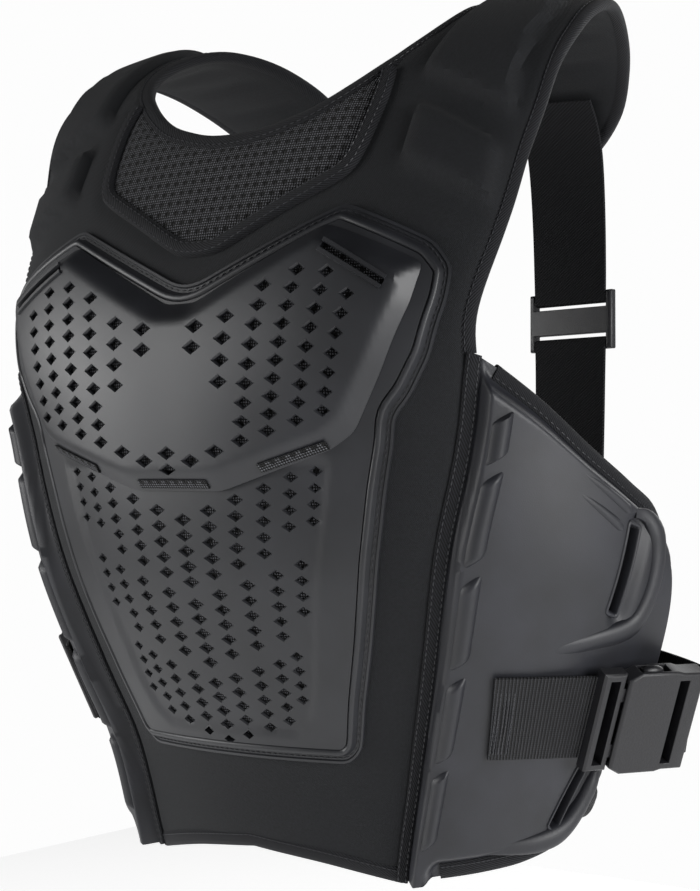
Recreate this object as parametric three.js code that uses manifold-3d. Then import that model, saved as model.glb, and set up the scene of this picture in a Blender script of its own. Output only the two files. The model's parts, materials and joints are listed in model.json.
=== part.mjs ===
// Roost deflector: a chest protector of knit-faced foam with a pierced moulded chest plate and two moulded
// side wings, worn over the shoulders and fastened round the waist. Millimetres, +Z up, the front faces -Y.
// The origin lies midway between the shoulders, where the straps' undersides sit on them.
import * as THREE from 'three';
import { mergeVertices } from 'three/addons/utils/BufferGeometryUtils.js';
import Module from 'manifold-3d';

const wasm = await Module();
wasm.setup();

// Driving dimensions of the body form
const garment_height = 490;
const chest_depth = 160;
const back_depth = 105;
const chest_width = 412;

// Walls and clearances
const gap = 0.3;
const panel_thick = 8;
const strap_hollow = 9;
const pad_rise = 4;
const pad_slope = 0.25;
const pad_edge = 0.2;
const bib_sink = 1.5;
const tape_thick = 1.2;
const fold_gap = 0.8;
const lay_gap = 0.8;
const lobe_gap = 2.2;
const plate_lay = 2.2;
const tape_width = 7;
const trim_width = 8;
const trim_rise = 2;
const seam_width = 7;
const seam_rise = 0.8;
const wing_thick = 5;
const wing_rise = 11;
const wing_flange = 10;
const wing_edge = 0.5;
const rib_rise = 4;
const rib_width = 12;
const rib_gap = 7;
const rib_inset = 11;
const rib_bevel = 2.4;
const groove_depth = 3;
const slot_width = 8.5;
const slot_rim = 5;
const slot_rim_rise = 3;
const slot_rim_bevel = 1.7;
const back_thick = 9;

// Chest plate
const rim_width = 10.5;
const rim_thick = 2;
const lip_rise = 4;
const lip_inset = 6;
const lower_plate_rise = 5;
const upper_plate_rise = 13;
const plate_slope = 0.35;
const plate_wall = 2.5;
const field_drop = 1.2;
const diamond_width = 9.5;
const diamond_height = 5.6;

// Straps and buckles
const web_width = 50;
const web_thick = 1.8;
const buckle_width = 62;
const buckle_length = 60;
const buckle_thick = 12;
const buckle_wall = 2.5;
const buckle_taper = 4;
const buckle_lead = 36;
const male_length = 14;
const bar_width = 4;
const end_bar_width = 9;
const strap_slot = 6;
const slot_play = 0.6;
const prong_reach = 40;
const prong_width = 8;
const prong_place = 17;
const hook_start = 24;
const hook_length = 12;
const window_play = 3;
const strap_width = 56;
const strap_thick = 1.8;
const slider_length = 36;
const slider_thick = 6;
const rail_width = 4;
const round_over = 1.2;

// Body form. Each row is a section from below the hem, up the chest, over the shoulder and down behind it.
// up: share of the front's run, 1 at the shoulder crest. drop: share of garment_height below the crest.
// fore: share of chest_depth ahead of the shoulder line. tilt: degrees that the section leans back.
// half: share of half of chest_width. side: share of chest_depth back to the widest point. flat: flatness.
const SECTIONS = [
  { up: 0.000, drop: 1.043, fore: 0.581, tilt: 0, half: 0.728, side: 0.700, flat: 1.00 },
  { up: 0.042, drop: 0.992, fore: 0.613, tilt: 0, half: 0.738, side: 0.700, flat: 1.00 },
  { up: 0.136, drop: 0.880, fore: 0.681, tilt: 0, half: 0.801, side: 0.763, flat: 1.00 },
  { up: 0.226, drop: 0.778, fore: 0.806, tilt: 0, half: 0.898, side: 0.863, flat: 1.00 },
  { up: 0.332, drop: 0.655, fore: 0.938, tilt: 0, half: 0.981, side: 0.975, flat: 1.05 },
  { up: 0.450, drop: 0.512, fore: 0.994, tilt: 0, half: 1.000, side: 1.025, flat: 1.25 },
  { up: 0.550, drop: 0.390, fore: 0.981, tilt: 5, half: 1.010, side: 1.031, flat: 1.60 },
  { up: 0.652, drop: 0.267, fore: 0.868, tilt: 12, half: 1.029, side: 0.893, flat: 1.55 },
  { up: 0.802, drop: 0.102, fore: 0.606, tilt: 50, half: 1.044, side: 0.425, flat: 1.12 },
  { up: 0.909, drop: 0.029, fore: 0.331, tilt: 78, half: 1.092, side: 0.263, flat: 1.00 },
  { up: 1.000, drop: 0.000, fore: 0.000, tilt: 90, half: 1.117, side: 0.169, flat: 1.00 },
  { up: 1.095, drop: 0.031, fore: -0.344, tilt: 112, half: 1.107, side: 0.219, flat: 1.00 },
  { up: 1.183, drop: 0.100, fore: -0.594, tilt: 140, half: 1.068, side: 0.313, flat: 1.00 },
  { up: 1.275, drop: 0.206, fore: -0.700, tilt: 165, half: 1.019, side: 0.375, flat: 1.00 },
  { up: 1.342, drop: 0.288, fore: -0.731, tilt: 175, half: 0.995, side: 0.438, flat: 1.00 },
];

// Edges of the pieces. out is a share of half of chest_width from the middle, up as in SECTIONS, and angle
// is degrees round the body from the middle of the chest.
const HEM = [
  { out: 0.000, up: 0.052 }, { out: 0.218, up: 0.043 }, { out: 0.422, up: 0.028 },
];
const SEAM = [
  { out: 0.422, up: 0.028 }, { out: 0.471, up: 0.108 }, { out: 0.573, up: 0.228 },
  { out: 0.665, up: 0.342 }, { out: 0.738, up: 0.435 }, { out: 0.786, up: 0.520 },
];
const ARMHOLE = [
  { out: 0.786, up: 0.520 }, { out: 0.791, up: 0.558 }, { out: 0.825, up: 0.627 },
  { out: 0.845, up: 0.717 }, { out: 0.874, up: 0.800 }, { out: 0.886, up: 0.875 },
  { out: 0.879, up: 0.942 }, { out: 0.850, up: 1.008 }, { out: 0.800, up: 1.067 },
  { out: 0.738, up: 1.125 }, { out: 0.665, up: 1.178 }, { out: 0.573, up: 1.217 },
  { out: 0.476, up: 1.237 },
];
const NECK = [
  { out: 0.476, up: 1.237 }, { out: 0.379, up: 1.225 }, { out: 0.325, up: 1.186 },
  { out: 0.330, up: 1.130 }, { out: 0.385, up: 1.062 }, { out: 0.455, up: 0.998 },
  { out: 0.500, up: 0.930 }, { out: 0.492, up: 0.875 }, { out: 0.455, up: 0.836 },
  { out: 0.413, up: 0.812 }, { out: 0.345, up: 0.785 }, { out: 0.255, up: 0.760 },
  { out: 0.160, up: 0.746 }, { out: 0.080, up: 0.739 }, { out: 0.000, up: 0.737 },
];
const BIB = [
  { out: 0.413, up: 0.812 }, { out: 0.455, up: 0.806 }, { out: 0.468, up: 0.775 },
  { out: 0.465, up: 0.745 }, { out: 0.454, up: 0.712 }, { out: 0.434, up: 0.690 },
  { out: 0.390, up: 0.676 }, { out: 0.255, up: 0.650 }, { out: 0.120, up: 0.624 },
  { out: 0.060, up: 0.615 }, { out: 0.000, up: 0.613 },
];
const CHEST_PAD = [
  { out: 0.560, up: 0.765 }, { out: 0.560, up: 0.690 }, { out: 0.800, up: 0.650 }, { out: 0.800, up: 0.725 },
];
const SHOULDER_PAD = [
  { out: 0.545, up: 0.790 }, { out: 0.810, up: 0.752 }, { out: 0.815, up: 0.900 }, { out: 0.745, up: 1.020 },
  { out: 0.560, up: 1.080 }, { out: 0.570, up: 0.930 },
];
const PLATE = [
  { out: 0.000, up: 0.585 }, { out: 0.040, up: 0.587 }, { out: 0.452, up: 0.652 }, { out: 0.695, up: 0.616 },
  { out: 0.742, up: 0.594 }, { out: 0.736, up: 0.566 }, { out: 0.700, up: 0.516 }, { out: 0.650, up: 0.482 },
  { out: 0.608, up: 0.464 }, { out: 0.598, up: 0.440 }, { out: 0.568, up: 0.398 }, { out: 0.528, up: 0.338 },
  { out: 0.470, up: 0.262 }, { out: 0.415, up: 0.203 }, { out: 0.375, up: 0.155 }, { out: 0.335, up: 0.141 },
  { out: 0.000, up: 0.141 },
];
const UPPER_PLATE = [
  { out: 0.050, up: 0.566 }, { out: 0.425, up: 0.629 }, { out: 0.680, up: 0.594 }, { out: 0.659, up: 0.560 },
  { out: 0.594, up: 0.505 }, { out: 0.515, up: 0.452 }, { out: 0.455, up: 0.437 }, { out: 0.262, up: 0.414 },
  { out: 0.145, up: 0.401 },
];
const LOWER_PLATE = [
  { out: 0.450, up: 0.430 }, { out: 0.425, up: 0.385 }, { out: 0.375, up: 0.320 }, { out: 0.300, up: 0.215 },
  { out: 0.265, up: 0.185 }, { out: 0.215, up: 0.170 },
];
const WING = [
  { angle: 44, up: 0.034 }, { angle: 55, up: 0.040 }, { angle: 66, up: 0.048 }, { angle: 76, up: 0.063 },
  { angle: 81, up: 0.090 }, { angle: 84, up: 0.125 }, { angle: 90, up: 0.180 }, { angle: 94, up: 0.223 },
  { angle: 94, up: 0.270 }, { angle: 92.5, up: 0.315 }, { angle: 90, up: 0.352 }, { angle: 85.5, up: 0.384 },
  { angle: 79, up: 0.405 }, { angle: 70, up: 0.438 }, { angle: 61, up: 0.482 }, { angle: 55, up: 0.508 },
];
const BACK_TOP = [
  { angle: 82, up: 0.262 }, { angle: 105, up: 0.275 }, { angle: 130, up: 0.292 }, { angle: 150, up: 0.303 },
  { angle: 180, up: 0.306 },
];
const BACK_SIDE = [
  { angle: 80, up: 0.080 }, { angle: 77, up: 0.170 }, { angle: 82, up: 0.262 },
];
const BACK_FOOT = [
  { angle: 180, up: 0.050 }, { angle: 150, up: 0.052 }, { angle: 125, up: 0.068 }, { angle: 108, up: 0.092 },
  { angle: 92, up: 0.090 }, { angle: 80, up: 0.080 },
];

// Relief of a wing: ribs beside the seam, the long groove, the ridge and the two strap slots
const RIB_ENDS = [
  { low: 0.060, high: 0.138 }, { low: 0.148, high: 0.232 }, { low: 0.242, high: 0.325 },
  { low: 0.335, high: 0.412 }, { low: 0.422, high: 0.478 },
];
const GROOVE = [
  { angle: 60.5, up: 0.443 }, { angle: 79, up: 0.394 }, { angle: 75.5, up: 0.374 },
];
const SLOTS = [
  { from_angle: 76.2, from_up: 0.370, to_angle: 72.4, to_up: 0.297 },
  { from_angle: 74.1, from_up: 0.141, to_angle: 69.0, to_up: 0.084 },
];

// Places of the straps: heights as up, and angles round the body
const WAIST = { up: 0.201, web_start: 51, web_end: 57, buckle: 66, elastic_start: 118, elastic_end: 134 };
const BACK_STRAP = { out: 0.470, lobe_start: 1.150, lobe_end: 1.232, foot_start: 0.312, foot_end: 0.256 };
const SLIDER_PLACE = 0.34;

// Diamond holes, a row for each group of columns: across from the middle at the group's top and foot, the
// number of holes in a column, and the height of the first and the last hole
const UPPER_HOLES = [
  { out_top: 0.195, out_foot: 0.190, holes: 2, top: 0.543, foot: 0.495 },
  { out_top: 0.291, out_foot: 0.240, holes: 5, top: 0.568, foot: 0.446 },
  { out_top: 0.379, out_foot: 0.316, holes: 5, top: 0.576, foot: 0.452 },
  { out_top: 0.461, out_foot: 0.393, holes: 4, top: 0.572, foot: 0.468 },
];
const LOWER_HOLES = [
  { columns: 4, pitch_top: 0.088, pitch_foot: 0.082, holes: 3, top: 0.372, foot: 0.318, rise: 0.0085 },
  { columns: 4, pitch_top: 0.078, pitch_foot: 0.071, holes: 3, top: 0.292, foot: 0.240, rise: 0.0075 },
  { columns: 3, pitch_top: 0.068, pitch_foot: 0.064, holes: 2, top: 0.214, foot: 0.190, rise: 0.0065 },
];

// Mesh fineness
const panel_cell = 36;
const plate_cell = 36;
const wing_cell = 30;
const back_cell = 40;
const edge_step = 16;
const long_step = 19;
const back_step = 32;
const angle_run = 3.5;
const dome_bend = 1e-4;
const merge_distance = 1e-4;
const knife_margin = 12;
const slope_step = 1e-3;
const inset_share = 0.97;
const least_step = 1;

// The crest's outer face stands above the origin by the panel, and by what the straps sink between the crest
// of the section and their lowest point
const crest_height = strap_hollow + panel_thick;

// Smooth value of one column of SECTIONS at a height up the front
function sectionValue(column, up) {
  const last = SECTIONS.length - 1;
  let row = 0;
  while (row < last - 1 && up > SECTIONS[row + 1].up) row += 1;
  const slope = (at) => {
    const before = SECTIONS[Math.max(at - 1, 0)];
    const after = SECTIONS[Math.min(at + 1, last)];
    return (after[column] - before[column]) / (after.up - before.up);
  };
  const from = SECTIONS[row];
  const to = SECTIONS[row + 1];
  const span = to.up - from.up;
  const t = (up - from.up) / span;
  const rest = 1 - t;
  return from[column] * rest * rest * (1 + 2 * t) + to[column] * t * t * (3 - 2 * t)
    + slope(row) * span * t * rest * rest - slope(row + 1) * span * t * t * rest;
}

// Point of the body form's outer face, with angle in degrees round the body
function skin(angle, up) {
  const turn = THREE.MathUtils.degToRad(angle);
  const tilt = THREE.MathUtils.degToRad(sectionValue('tilt', up));
  const half = sectionValue('half', up) * chest_width / 2;
  const side = sectionValue('side', up) * chest_depth;
  const ahead = Math.max(1 - Math.cos(turn), 0);
  const depth = Math.cos(turn) > 0
    ? side * ahead ** sectionValue('flat', up)
    : side - back_depth * Math.cos(turn);
  return new THREE.Vector3(
    half * Math.sin(turn),
    depth * Math.cos(tilt) - sectionValue('fore', up) * chest_depth,
    crest_height - sectionValue('drop', up) * garment_height - depth * Math.sin(tilt),
  );
}

// Axes of the skin: round the body, up it, and outwards
function skinAxes(angle, up) {
  const round = skin(angle + slope_step, up).sub(skin(angle - slope_step, up)).normalize();
  const rise = skin(angle, up + slope_step / 10).sub(skin(angle, up - slope_step / 10));
  const outward = round.clone().cross(rise).normalize();
  return { round, rise: outward.clone().cross(round), outward };
}

function offSkin(angle, up, height) {
  return skin(angle, up).addScaledVector(skinAxes(angle, up).outward, height);
}

// Length of the front from below the hem to the crest, which scales heights on the flat pattern
const front_run = SECTIONS.slice(1).reduce((sum, row, index) => {
  const before = SECTIONS[index];
  return row.up > 1 ? sum : sum + Math.hypot(
    (row.drop - before.drop) * garment_height, (row.fore - before.fore) * chest_depth);
}, 0);

// Angle round the body of a point that lies a share of half the chest width from the middle
function angleOf(out, up) {
  return THREE.MathUtils.radToDeg(Math.asin(Math.min(out / sectionValue('half', up), 1)));
}

// A table row on the flat pattern, where x runs round the body and y up it
function flat(row) {
  const angle = row.angle ?? angleOf(row.out, row.up);
  return new THREE.Vector2(angle * angle_run, row.up * front_run);
}

// A smooth edge through table rows, in steps of about edge_step
function smoothEdge(rows, step = edge_step) {
  const curve = new THREE.SplineCurve(rows.map(flat));
  return curve.getSpacedPoints(Math.max(Math.round(curve.getLength() / step), 2));
}

// Corners joined by straight stretches, with points along them in steps of about long_step
function paced(corners) {
  return corners.slice(1).flatMap((corner, index) => {
    const from = corners[index];
    const steps = Math.max(Math.round(from.distanceTo(corner) / long_step), 1);
    return Array.from({ length: steps }, (_, step) => from.clone().lerp(corner, (step + 1) / steps));
  });
}

// Points moved sideways along an open or closed edge on the flat pattern, to its left when above 0
function shifted(points, distance, closed = false) {
  const count = points.length;
  return points.map((point, index) => {
    const before = points[closed ? (index + count - 1) % count : Math.max(index - 1, 0)];
    const after = points[closed ? (index + 1) % count : Math.min(index + 1, count - 1)];
    const into = point.clone().sub(before);
    const onward = after.clone().sub(point);
    if (into.length() === 0) into.copy(onward);
    if (onward.length() === 0) onward.copy(into);
    into.normalize();
    onward.normalize();
    const mean = into.clone().add(onward).normalize();
    const stretch = 1 / Math.max(mean.dot(onward), 0.5);
    return new THREE.Vector2(-mean.y, mean.x).multiplyScalar(distance * stretch).add(point);
  });
}

// A closed outline drawn in by a distance, without the points that would cross over at its corners
function inset(outline, distance) {
  const way = Math.sign(THREE.ShapeUtils.area(outline));
  return distinct(shifted(outline, way * distance, true)
    .filter((point) => nearness(outline, point.x, point.y) > distance * inset_share));
}

const flipped = (points) => points.map((point) => new THREE.Vector2(-point.x, point.y)).reverse();

// One outline for both halves of the body, from the half on +X
const bothSides = (points) => [...points, ...flipped(points)];

// Points without those that repeat their neighbour
function distinct(points) {
  return points.filter((point, index) =>
    point.distanceTo(points[(index + points.length - 1) % points.length]) > least_step);
}

function domed(geometry, way) {
  const place = geometry.attributes.position;
  for (let i = 0; i < place.count; i += 1) {
    const bulge = dome_bend * (place.getX(i) ** 2 + place.getY(i) ** 2);
    place.setZ(i, place.getZ(i) + way * bulge);
  }
  return geometry;
}

function toSolid(geometry) {
  const bare = geometry.clone();
  bare.deleteAttribute('normal');
  bare.deleteAttribute('uv');
  const merged = mergeVertices(bare, merge_distance);
  return new wasm.Manifold(new wasm.Mesh({
    numProp: 3,
    vertProperties: merged.attributes.position.array,
    triVerts: new Uint32Array(merged.index.array),
  }));
}

function toGeometry(solid) {
  const mesh = solid.getMesh();
  const geometry = new THREE.BufferGeometry();
  geometry.setAttribute('position', new THREE.BufferAttribute(new Float32Array(mesh.vertProperties), 3));
  geometry.setIndex(new THREE.BufferAttribute(new Uint32Array(mesh.triVerts), 1));
  return geometry;
}

// A prism of the flat pattern between two heights, its ends drawn in by a bevel of that run and rise
function prism(outline, low, high, bevel_run = 0, bevel_rise = 0) {
  const geometry = new THREE.ExtrudeGeometry(new THREE.Shape(distinct(outline)), {
    depth: high - low - 2 * bevel_rise,
    steps: 1,
    bevelEnabled: bevel_run > 0,
    bevelThickness: bevel_rise,
    bevelSize: bevel_run,
    bevelOffset: -bevel_run,
    bevelSegments: 1,
  });
  geometry.translate(0, 0, low + (bevel_run > 0 ? bevel_rise : 0));
  return toSolid(domed(geometry, 1));
}

// A sheet of the flat pattern: a gridded blank cut to an outline. The blank is domed while it is cut, so
// that its grid stays, and crown gives the height of its top where that isn't flat.
function sheet(outline, low, high, cell, crown) {
  const box = new THREE.Box2().setFromPoints(outline);
  const size = box.getSize(new THREE.Vector2()).addScalar(2);
  const middle = box.getCenter(new THREE.Vector2());
  const blank = new THREE.BoxGeometry(
    size.x, size.y, high - low, Math.ceil(size.x / cell), Math.ceil(size.y / cell), 1);
  blank.translate(middle.x, middle.y, (low + high) / 2);
  const cut = toSolid(domed(blank, 1)).intersect(prism(outline, low - knife_margin, high + knife_margin));
  if (!crown) return cut;
  const geometry = domed(toGeometry(cut), -1);
  const place = geometry.attributes.position;
  for (let i = 0; i < place.count; i += 1) {
    if (place.getZ(i) > (low + high) / 2) place.setZ(i, crown(place.getX(i), place.getY(i)));
  }
  return toSolid(domed(geometry, 1));
}

// A flat pattern's solid laid on the body form
function worn(solid) {
  const geometry = domed(toGeometry(solid), -1);
  const place = geometry.attributes.position;
  for (let i = 0; i < place.count; i += 1) {
    const point = offSkin(place.getX(i) / angle_run, place.getY(i) / front_run, place.getZ(i));
    place.setXYZ(i, point.x, point.y, point.z);
  }
  return geometry;
}

// Rings of points joined into a closed bar, each ring the same section
function bar(rings, closed = false) {
  const count = rings[0].length;
  const places = rings.flat().flatMap((point) => [point.x, point.y, point.z]);
  const faces = [];
  const spans = closed ? rings.length : rings.length - 1;
  for (let ring = 0; ring < spans; ring += 1) {
    for (let i = 0; i < count; i += 1) {
      const a = ring * count + i;
      const b = ring * count + (i + 1) % count;
      const c = ((ring + 1) % rings.length) * count + (i + 1) % count;
      const d = ((ring + 1) % rings.length) * count + i;
      faces.push(a, b, c, a, c, d);
    }
  }
  if (!closed) {
    const end = (rings.length - 1) * count;
    const plane = sectionPlane(rings[0]);
    for (const [a, b, c] of THREE.ShapeUtils.triangulateShape(plane, [])) {
      faces.push(c, b, a, end + a, end + b, end + c);
    }
  }
  const geometry = new THREE.BufferGeometry();
  geometry.setAttribute('position', new THREE.Float32BufferAttribute(places, 3));
  geometry.setIndex(faces);
  return outwards(geometry);
}

// A ring's points on its own plane, for its end faces
function sectionPlane(ring) {
  const side = ring[1].clone().sub(ring[0]).normalize();
  const normal = new THREE.Vector3();
  ring.forEach((point, index) => {
    const next = ring[(index + 1) % ring.length];
    normal.add(point.clone().sub(ring[0]).cross(next.clone().sub(ring[0])));
  });
  const across = normal.normalize().cross(side);
  return ring.map((point) => {
    const arm = point.clone().sub(ring[0]);
    return new THREE.Vector2(arm.dot(side), arm.dot(across));
  });
}

// The same closed body with its faces pointing out
function outwards(geometry) {
  const place = geometry.attributes.position;
  const index = geometry.index.array;
  const corner = (i) => new THREE.Vector3().fromBufferAttribute(place, index[i]);
  let volume = 0;
  for (let i = 0; i < index.length; i += 3) {
    volume += corner(i).dot(corner(i + 1).cross(corner(i + 2)));
  }
  return volume < 0 ? reversed(geometry) : geometry;
}

function reversed(geometry) {
  const index = geometry.index.array;
  for (let i = 0; i < index.length; i += 3) {
    [index[i], index[i + 1]] = [index[i + 1], index[i]];
  }
  return geometry;
}

const mirrored = (geometry) => reversed(geometry.clone().scale(-1, 1, 1));

// A tape sewn along an edge of the flat pattern. Its section is in distance to the left of the edge and
// height off the skin.
function tape(points, section, closed = false) {
  const lines = section.map(([inward, height]) => shifted(points, inward, closed).map((point) =>
    offSkin(point.x / angle_run, point.y / front_run, height)));
  return bar(points.map((_, index) => lines.map((line) => line[index])), closed);
}

// Section of a binding that covers an edge between two heights and laps over its outer face
function foldedOver(low, high) {
  const outside = fold_gap + tape_thick;
  return [
    [tape_width, high + outside], [-outside, high + outside], [-outside, low],
    [-fold_gap, low], [-fold_gap, high + fold_gap], [tape_width, high + fold_gap],
  ];
}

// A flat strap through stations, each a place with the directions of its width and its face
function strap(stations, width, thick) {
  return bar(stations.map(({ place, across, face }) => [[-1, -1], [1, -1], [1, 1], [-1, 1]].map(
    ([side, top]) => place.clone().addScaledVector(across, side * width / 2)
      .addScaledVector(face, top * thick / 2))));
}

// Finishes
const textile = { color: 0x17181a, roughness: 0.92, metalness: 0 };
const spacer_mesh = { color: 0x101112, roughness: 0.88, metalness: 0 };
const binding_tape = { color: 0x131415, roughness: 0.8, metalness: 0 };
const moulded_plastic = { color: 0x1b1c1f, roughness: 0.5, metalness: 0 };
const moulded_foam = { color: 0x15161a, roughness: 0.55, metalness: 0 };
const webbing = { color: 0x101113, roughness: 0.75, metalness: 0 };
const elastic = { color: 0x141517, roughness: 0.85, metalness: 0 };
const acetal = { color: 0x141416, roughness: 0.45, metalness: 0 };

const protector = new THREE.Group();

function piece(name, geometry, finish) {
  const mesh = new THREE.Mesh(geometry, new THREE.MeshStandardMaterial(finish));
  mesh.name = name;
  protector.add(mesh);
  return mesh;
}

// A piece on the wearer's left and its twin on the right
function pair(name, geometry, finish) {
  piece(`${name}_left`, geometry, finish);
  piece(`${name}_right`, mirrored(geometry), finish);
}

// Edges on the flat pattern, on the wearer's left
const hem = smoothEdge(HEM, long_step);
const seam = smoothEdge(SEAM, long_step);
const armhole = smoothEdge(ARMHOLE);
const neck = smoothEdge(NECK);
const bib_edge = smoothEdge(BIB);
const neck_break = neck.findIndex((point) => point.y < BIB[0].up * front_run);
const strap_neck = neck.slice(0, neck_break);
const bib_neck = neck.slice(neck_break);

// Textile panel with both shoulder straps, and the pads moulded in the shoulders
function frontPanel() {
  const outline = [...hem.slice(1), ...seam.slice(1), ...armhole.slice(1), ...strap_neck.slice(1),
    ...shifted(bib_edge, gap).slice(0, -1)];
  const mid_hem = hem[0];
  const mid_bib = bib_edge[bib_edge.length - 1].clone().add(new THREE.Vector2(0, -gap));
  const whole = [mid_hem, ...outline, mid_bib, ...flipped(outline)];
  let solid = sheet(whole, -panel_thick, 0, panel_cell);
  for (const pad of [CHEST_PAD, SHOULDER_PAD].map((rows) => rows.map(flat))) {
    for (const shape of [pad, flipped(pad)]) {
      const crown = (x, y) => Math.min(pad_rise, nearness(shape, x, y) * pad_slope + pad_edge);
      solid = solid.add(sheet(shape, -panel_thick / 2, pad_rise, panel_cell, crown));
    }
  }
  return worn(solid);
}

// Distance from a point of the flat pattern to a closed outline
function nearness(outline, x, y) {
  const point = new THREE.Vector3(x, y, 0);
  const spot = new THREE.Vector3();
  return Math.min(...outline.map((corner, index) => {
    const next = outline[(index + 1) % outline.length];
    const side = new THREE.Line3(new THREE.Vector3(corner.x, corner.y, 0), new THREE.Vector3(next.x, next.y, 0));
    return side.closestPointToPoint(point, true, spot).distanceTo(point);
  }));
}

// Open mesh pad let into the panel under the neckline
function bib() {
  const half = [...bib_edge].reverse().slice(1);
  const outline = [bib_edge[bib_edge.length - 1], ...half, ...bib_neck.slice(0, -1)];
  const whole = [...outline, bib_neck[bib_neck.length - 1], ...flipped(outline.slice(1))];
  return worn(sheet(distinct(whole), -panel_thick, -bib_sink, panel_cell));
}

piece('front_panel', frontPanel(), textile);
piece('bib', bib(), spacer_mesh);

// Raised welt round the bib, clear of the neck binding
const welt_rows = BIB.filter((row) => row.up < BIB[1].up);
const welt = smoothEdge(welt_rows);
const whole_welt = [...welt.slice(0, -1), ...flipped(welt)];
piece('bib_trim', tape(whole_welt, [
  [-gap, gap], [-gap, gap + trim_rise], [trim_width, gap + trim_rise], [trim_width, gap],
].map(([inward, height]) => [-inward, height])), binding_tape);

// Bindings folded over the free edges
const edge_fold = foldedOver(-panel_thick, 0);
const trimmed = (points) => points.slice(1, -1);
pair('arm_binding', tape(trimmed(armhole), edge_fold), binding_tape);
piece('neck_binding', tape([...neck.slice(1), ...flipped(neck.slice(1, -1))], edge_fold), binding_tape);
piece('hem_binding', tape([...flipped(hem.slice(1, -1)), hem[0], ...hem.slice(1, -1)], edge_fold), binding_tape);

// Moulded chest plate: a rim with a raised lip round a lower plate, and an upper plate that steps over it
const plate_half = [flat(PLATE[0]), ...paced(PLATE.map(flat))];
const plate_outline = [...plate_half, ...flipped(plate_half.slice(1, -1))].reverse();
const plate_inside = inset(plate_outline, rim_width + gap);

// The rim's flange lies on the panel outside its sewing groove, and its lip stands inside it
const lip_low = lay_gap + rim_thick;
const rim_section = [
  [0, lay_gap], [0, lip_low], [lip_inset, lip_low], [lip_inset + gap, lay_gap + lip_rise],
  [rim_width, lay_gap + lip_rise], [rim_width, lay_gap],
];

// A diamond hole's outline about a point of the flat pattern
function diamond(out, up) {
  const middle = flat({ out, up });
  const corners = [[-1, 0], [0, -1], [1, 0], [0, 1]];
  return corners.map(([x, y]) => new THREE.Vector2(
    middle.x + x * diamond_width / 2, middle.y + y * diamond_height / 2));
}

// Both sides' holes cut through a plate
function pierced(plate, centres) {
  return centres.reduce((rest, [out, up]) => {
    const hole = diamond(out, up);
    const cut = rest.subtract(prism(hole, -knife_margin, knife_margin + upper_plate_rise));
    return out === 0 ? cut : cut.subtract(prism(flipped(hole), -knife_margin, knife_margin + upper_plate_rise));
  }, plate);
}

function upperPlate() {
  const half = UPPER_PLATE.map(flat);
  const outline = bothSides(half);
  const low = lower_plate_rise + plate_lay;
  const shell = sheet(outline, low, upper_plate_rise, plate_cell,
    (x, y) => Math.min(upper_plate_rise, low + plate_wall + nearness(outline, x, y) * plate_slope));
  const centres = UPPER_HOLES.flatMap(({ out_top, out_foot, holes, top, foot }) =>
    Array.from({ length: holes }, (_, index) => {
      const share = index / (holes - 1);
      return [THREE.MathUtils.lerp(out_top, out_foot, share), THREE.MathUtils.lerp(top, foot, share)];
    }));
  return worn(pierced(shell, centres));
}

function lowerPlate() {
  const shell = sheet(plate_inside, plate_lay, lower_plate_rise, plate_cell);
  const field = sheet(bothSides(LOWER_PLATE.map(flat)), lower_plate_rise - field_drop, knife_margin, plate_cell);
  const centres = LOWER_HOLES.flatMap(({ columns, pitch_top, pitch_foot, holes, top, foot, rise }) =>
    Array.from({ length: columns * holes }, (_, index) => {
      const column = Math.floor(index / holes);
      const share = (index % holes) / (holes - 1);
      return [column * THREE.MathUtils.lerp(pitch_top, pitch_foot, share),
        THREE.MathUtils.lerp(top, foot, share) + column * rise];
    }));
  return worn(pierced(shell.subtract(field), centres));
}

piece('plate_rim', tape(plate_outline, rim_section, true), moulded_plastic);
piece('lower_plate', lowerPlate(), moulded_plastic);
piece('upper_plate', upperPlate(), moulded_plastic);

// Side wing: a moulded foam shell with its flange, ribs, groove, ridge and strap slots
const wing_free = smoothEdge(WING);
const wing_outline = distinct([...wing_free, ...shifted(seam, -gap).reverse()]);

// A slanted slot's outline, its ends square, with a rim of some width round it
function slotOutline({ from_angle, from_up, to_angle, to_up }, margin) {
  const from = flat({ angle: from_angle, up: from_up });
  const to = flat({ angle: to_angle, up: to_up });
  const along = to.clone().sub(from).normalize();
  const across = new THREE.Vector2(-along.y, along.x).multiplyScalar(slot_width / 2 + margin);
  const before = from.clone().addScaledVector(along, -margin);
  const after = to.clone().addScaledVector(along, margin);
  return [before.clone().add(across), before.clone().sub(across), after.clone().sub(across),
    after.clone().add(across)];
}

function wing() {
  const base = sheet(wing_outline, -wing_thick, 0, wing_cell);
  const core_outline = inset(wing_outline, wing_flange);
  const crown = (x, y) => Math.min(wing_rise, wing_edge + nearness(core_outline, x, y));
  const core = sheet(core_outline, -wing_thick / 2, wing_rise, wing_cell, crown);
  let solid = base.add(core);
  for (const { low, high } of RIB_ENDS) {
    const near = new THREE.Vector2(rib_inset, 0);
    const far = new THREE.Vector2(rib_inset + rib_width, rib_gap);
    const rib = [[low, near], [low, far], [high, far], [high, near]].map(([up, away]) =>
      seamPoint(up).add(away));
    solid = solid.add(prism(rib, 0, wing_rise + rib_rise, rib_bevel, rib_rise));
  }
  solid = solid.subtract(prism(GROOVE.map(flat), wing_rise - groove_depth, wing_rise + knife_margin));
  for (const slot of SLOTS) {
    solid = solid.add(
      prism(slotOutline(slot, slot_rim), 0, wing_rise + slot_rim_rise, slot_rim_bevel, slot_rim_rise));
    solid = solid.subtract(prism(slotOutline(slot, 0), -knife_margin, knife_margin + wing_rise));
  }
  return worn(solid);
}

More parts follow.
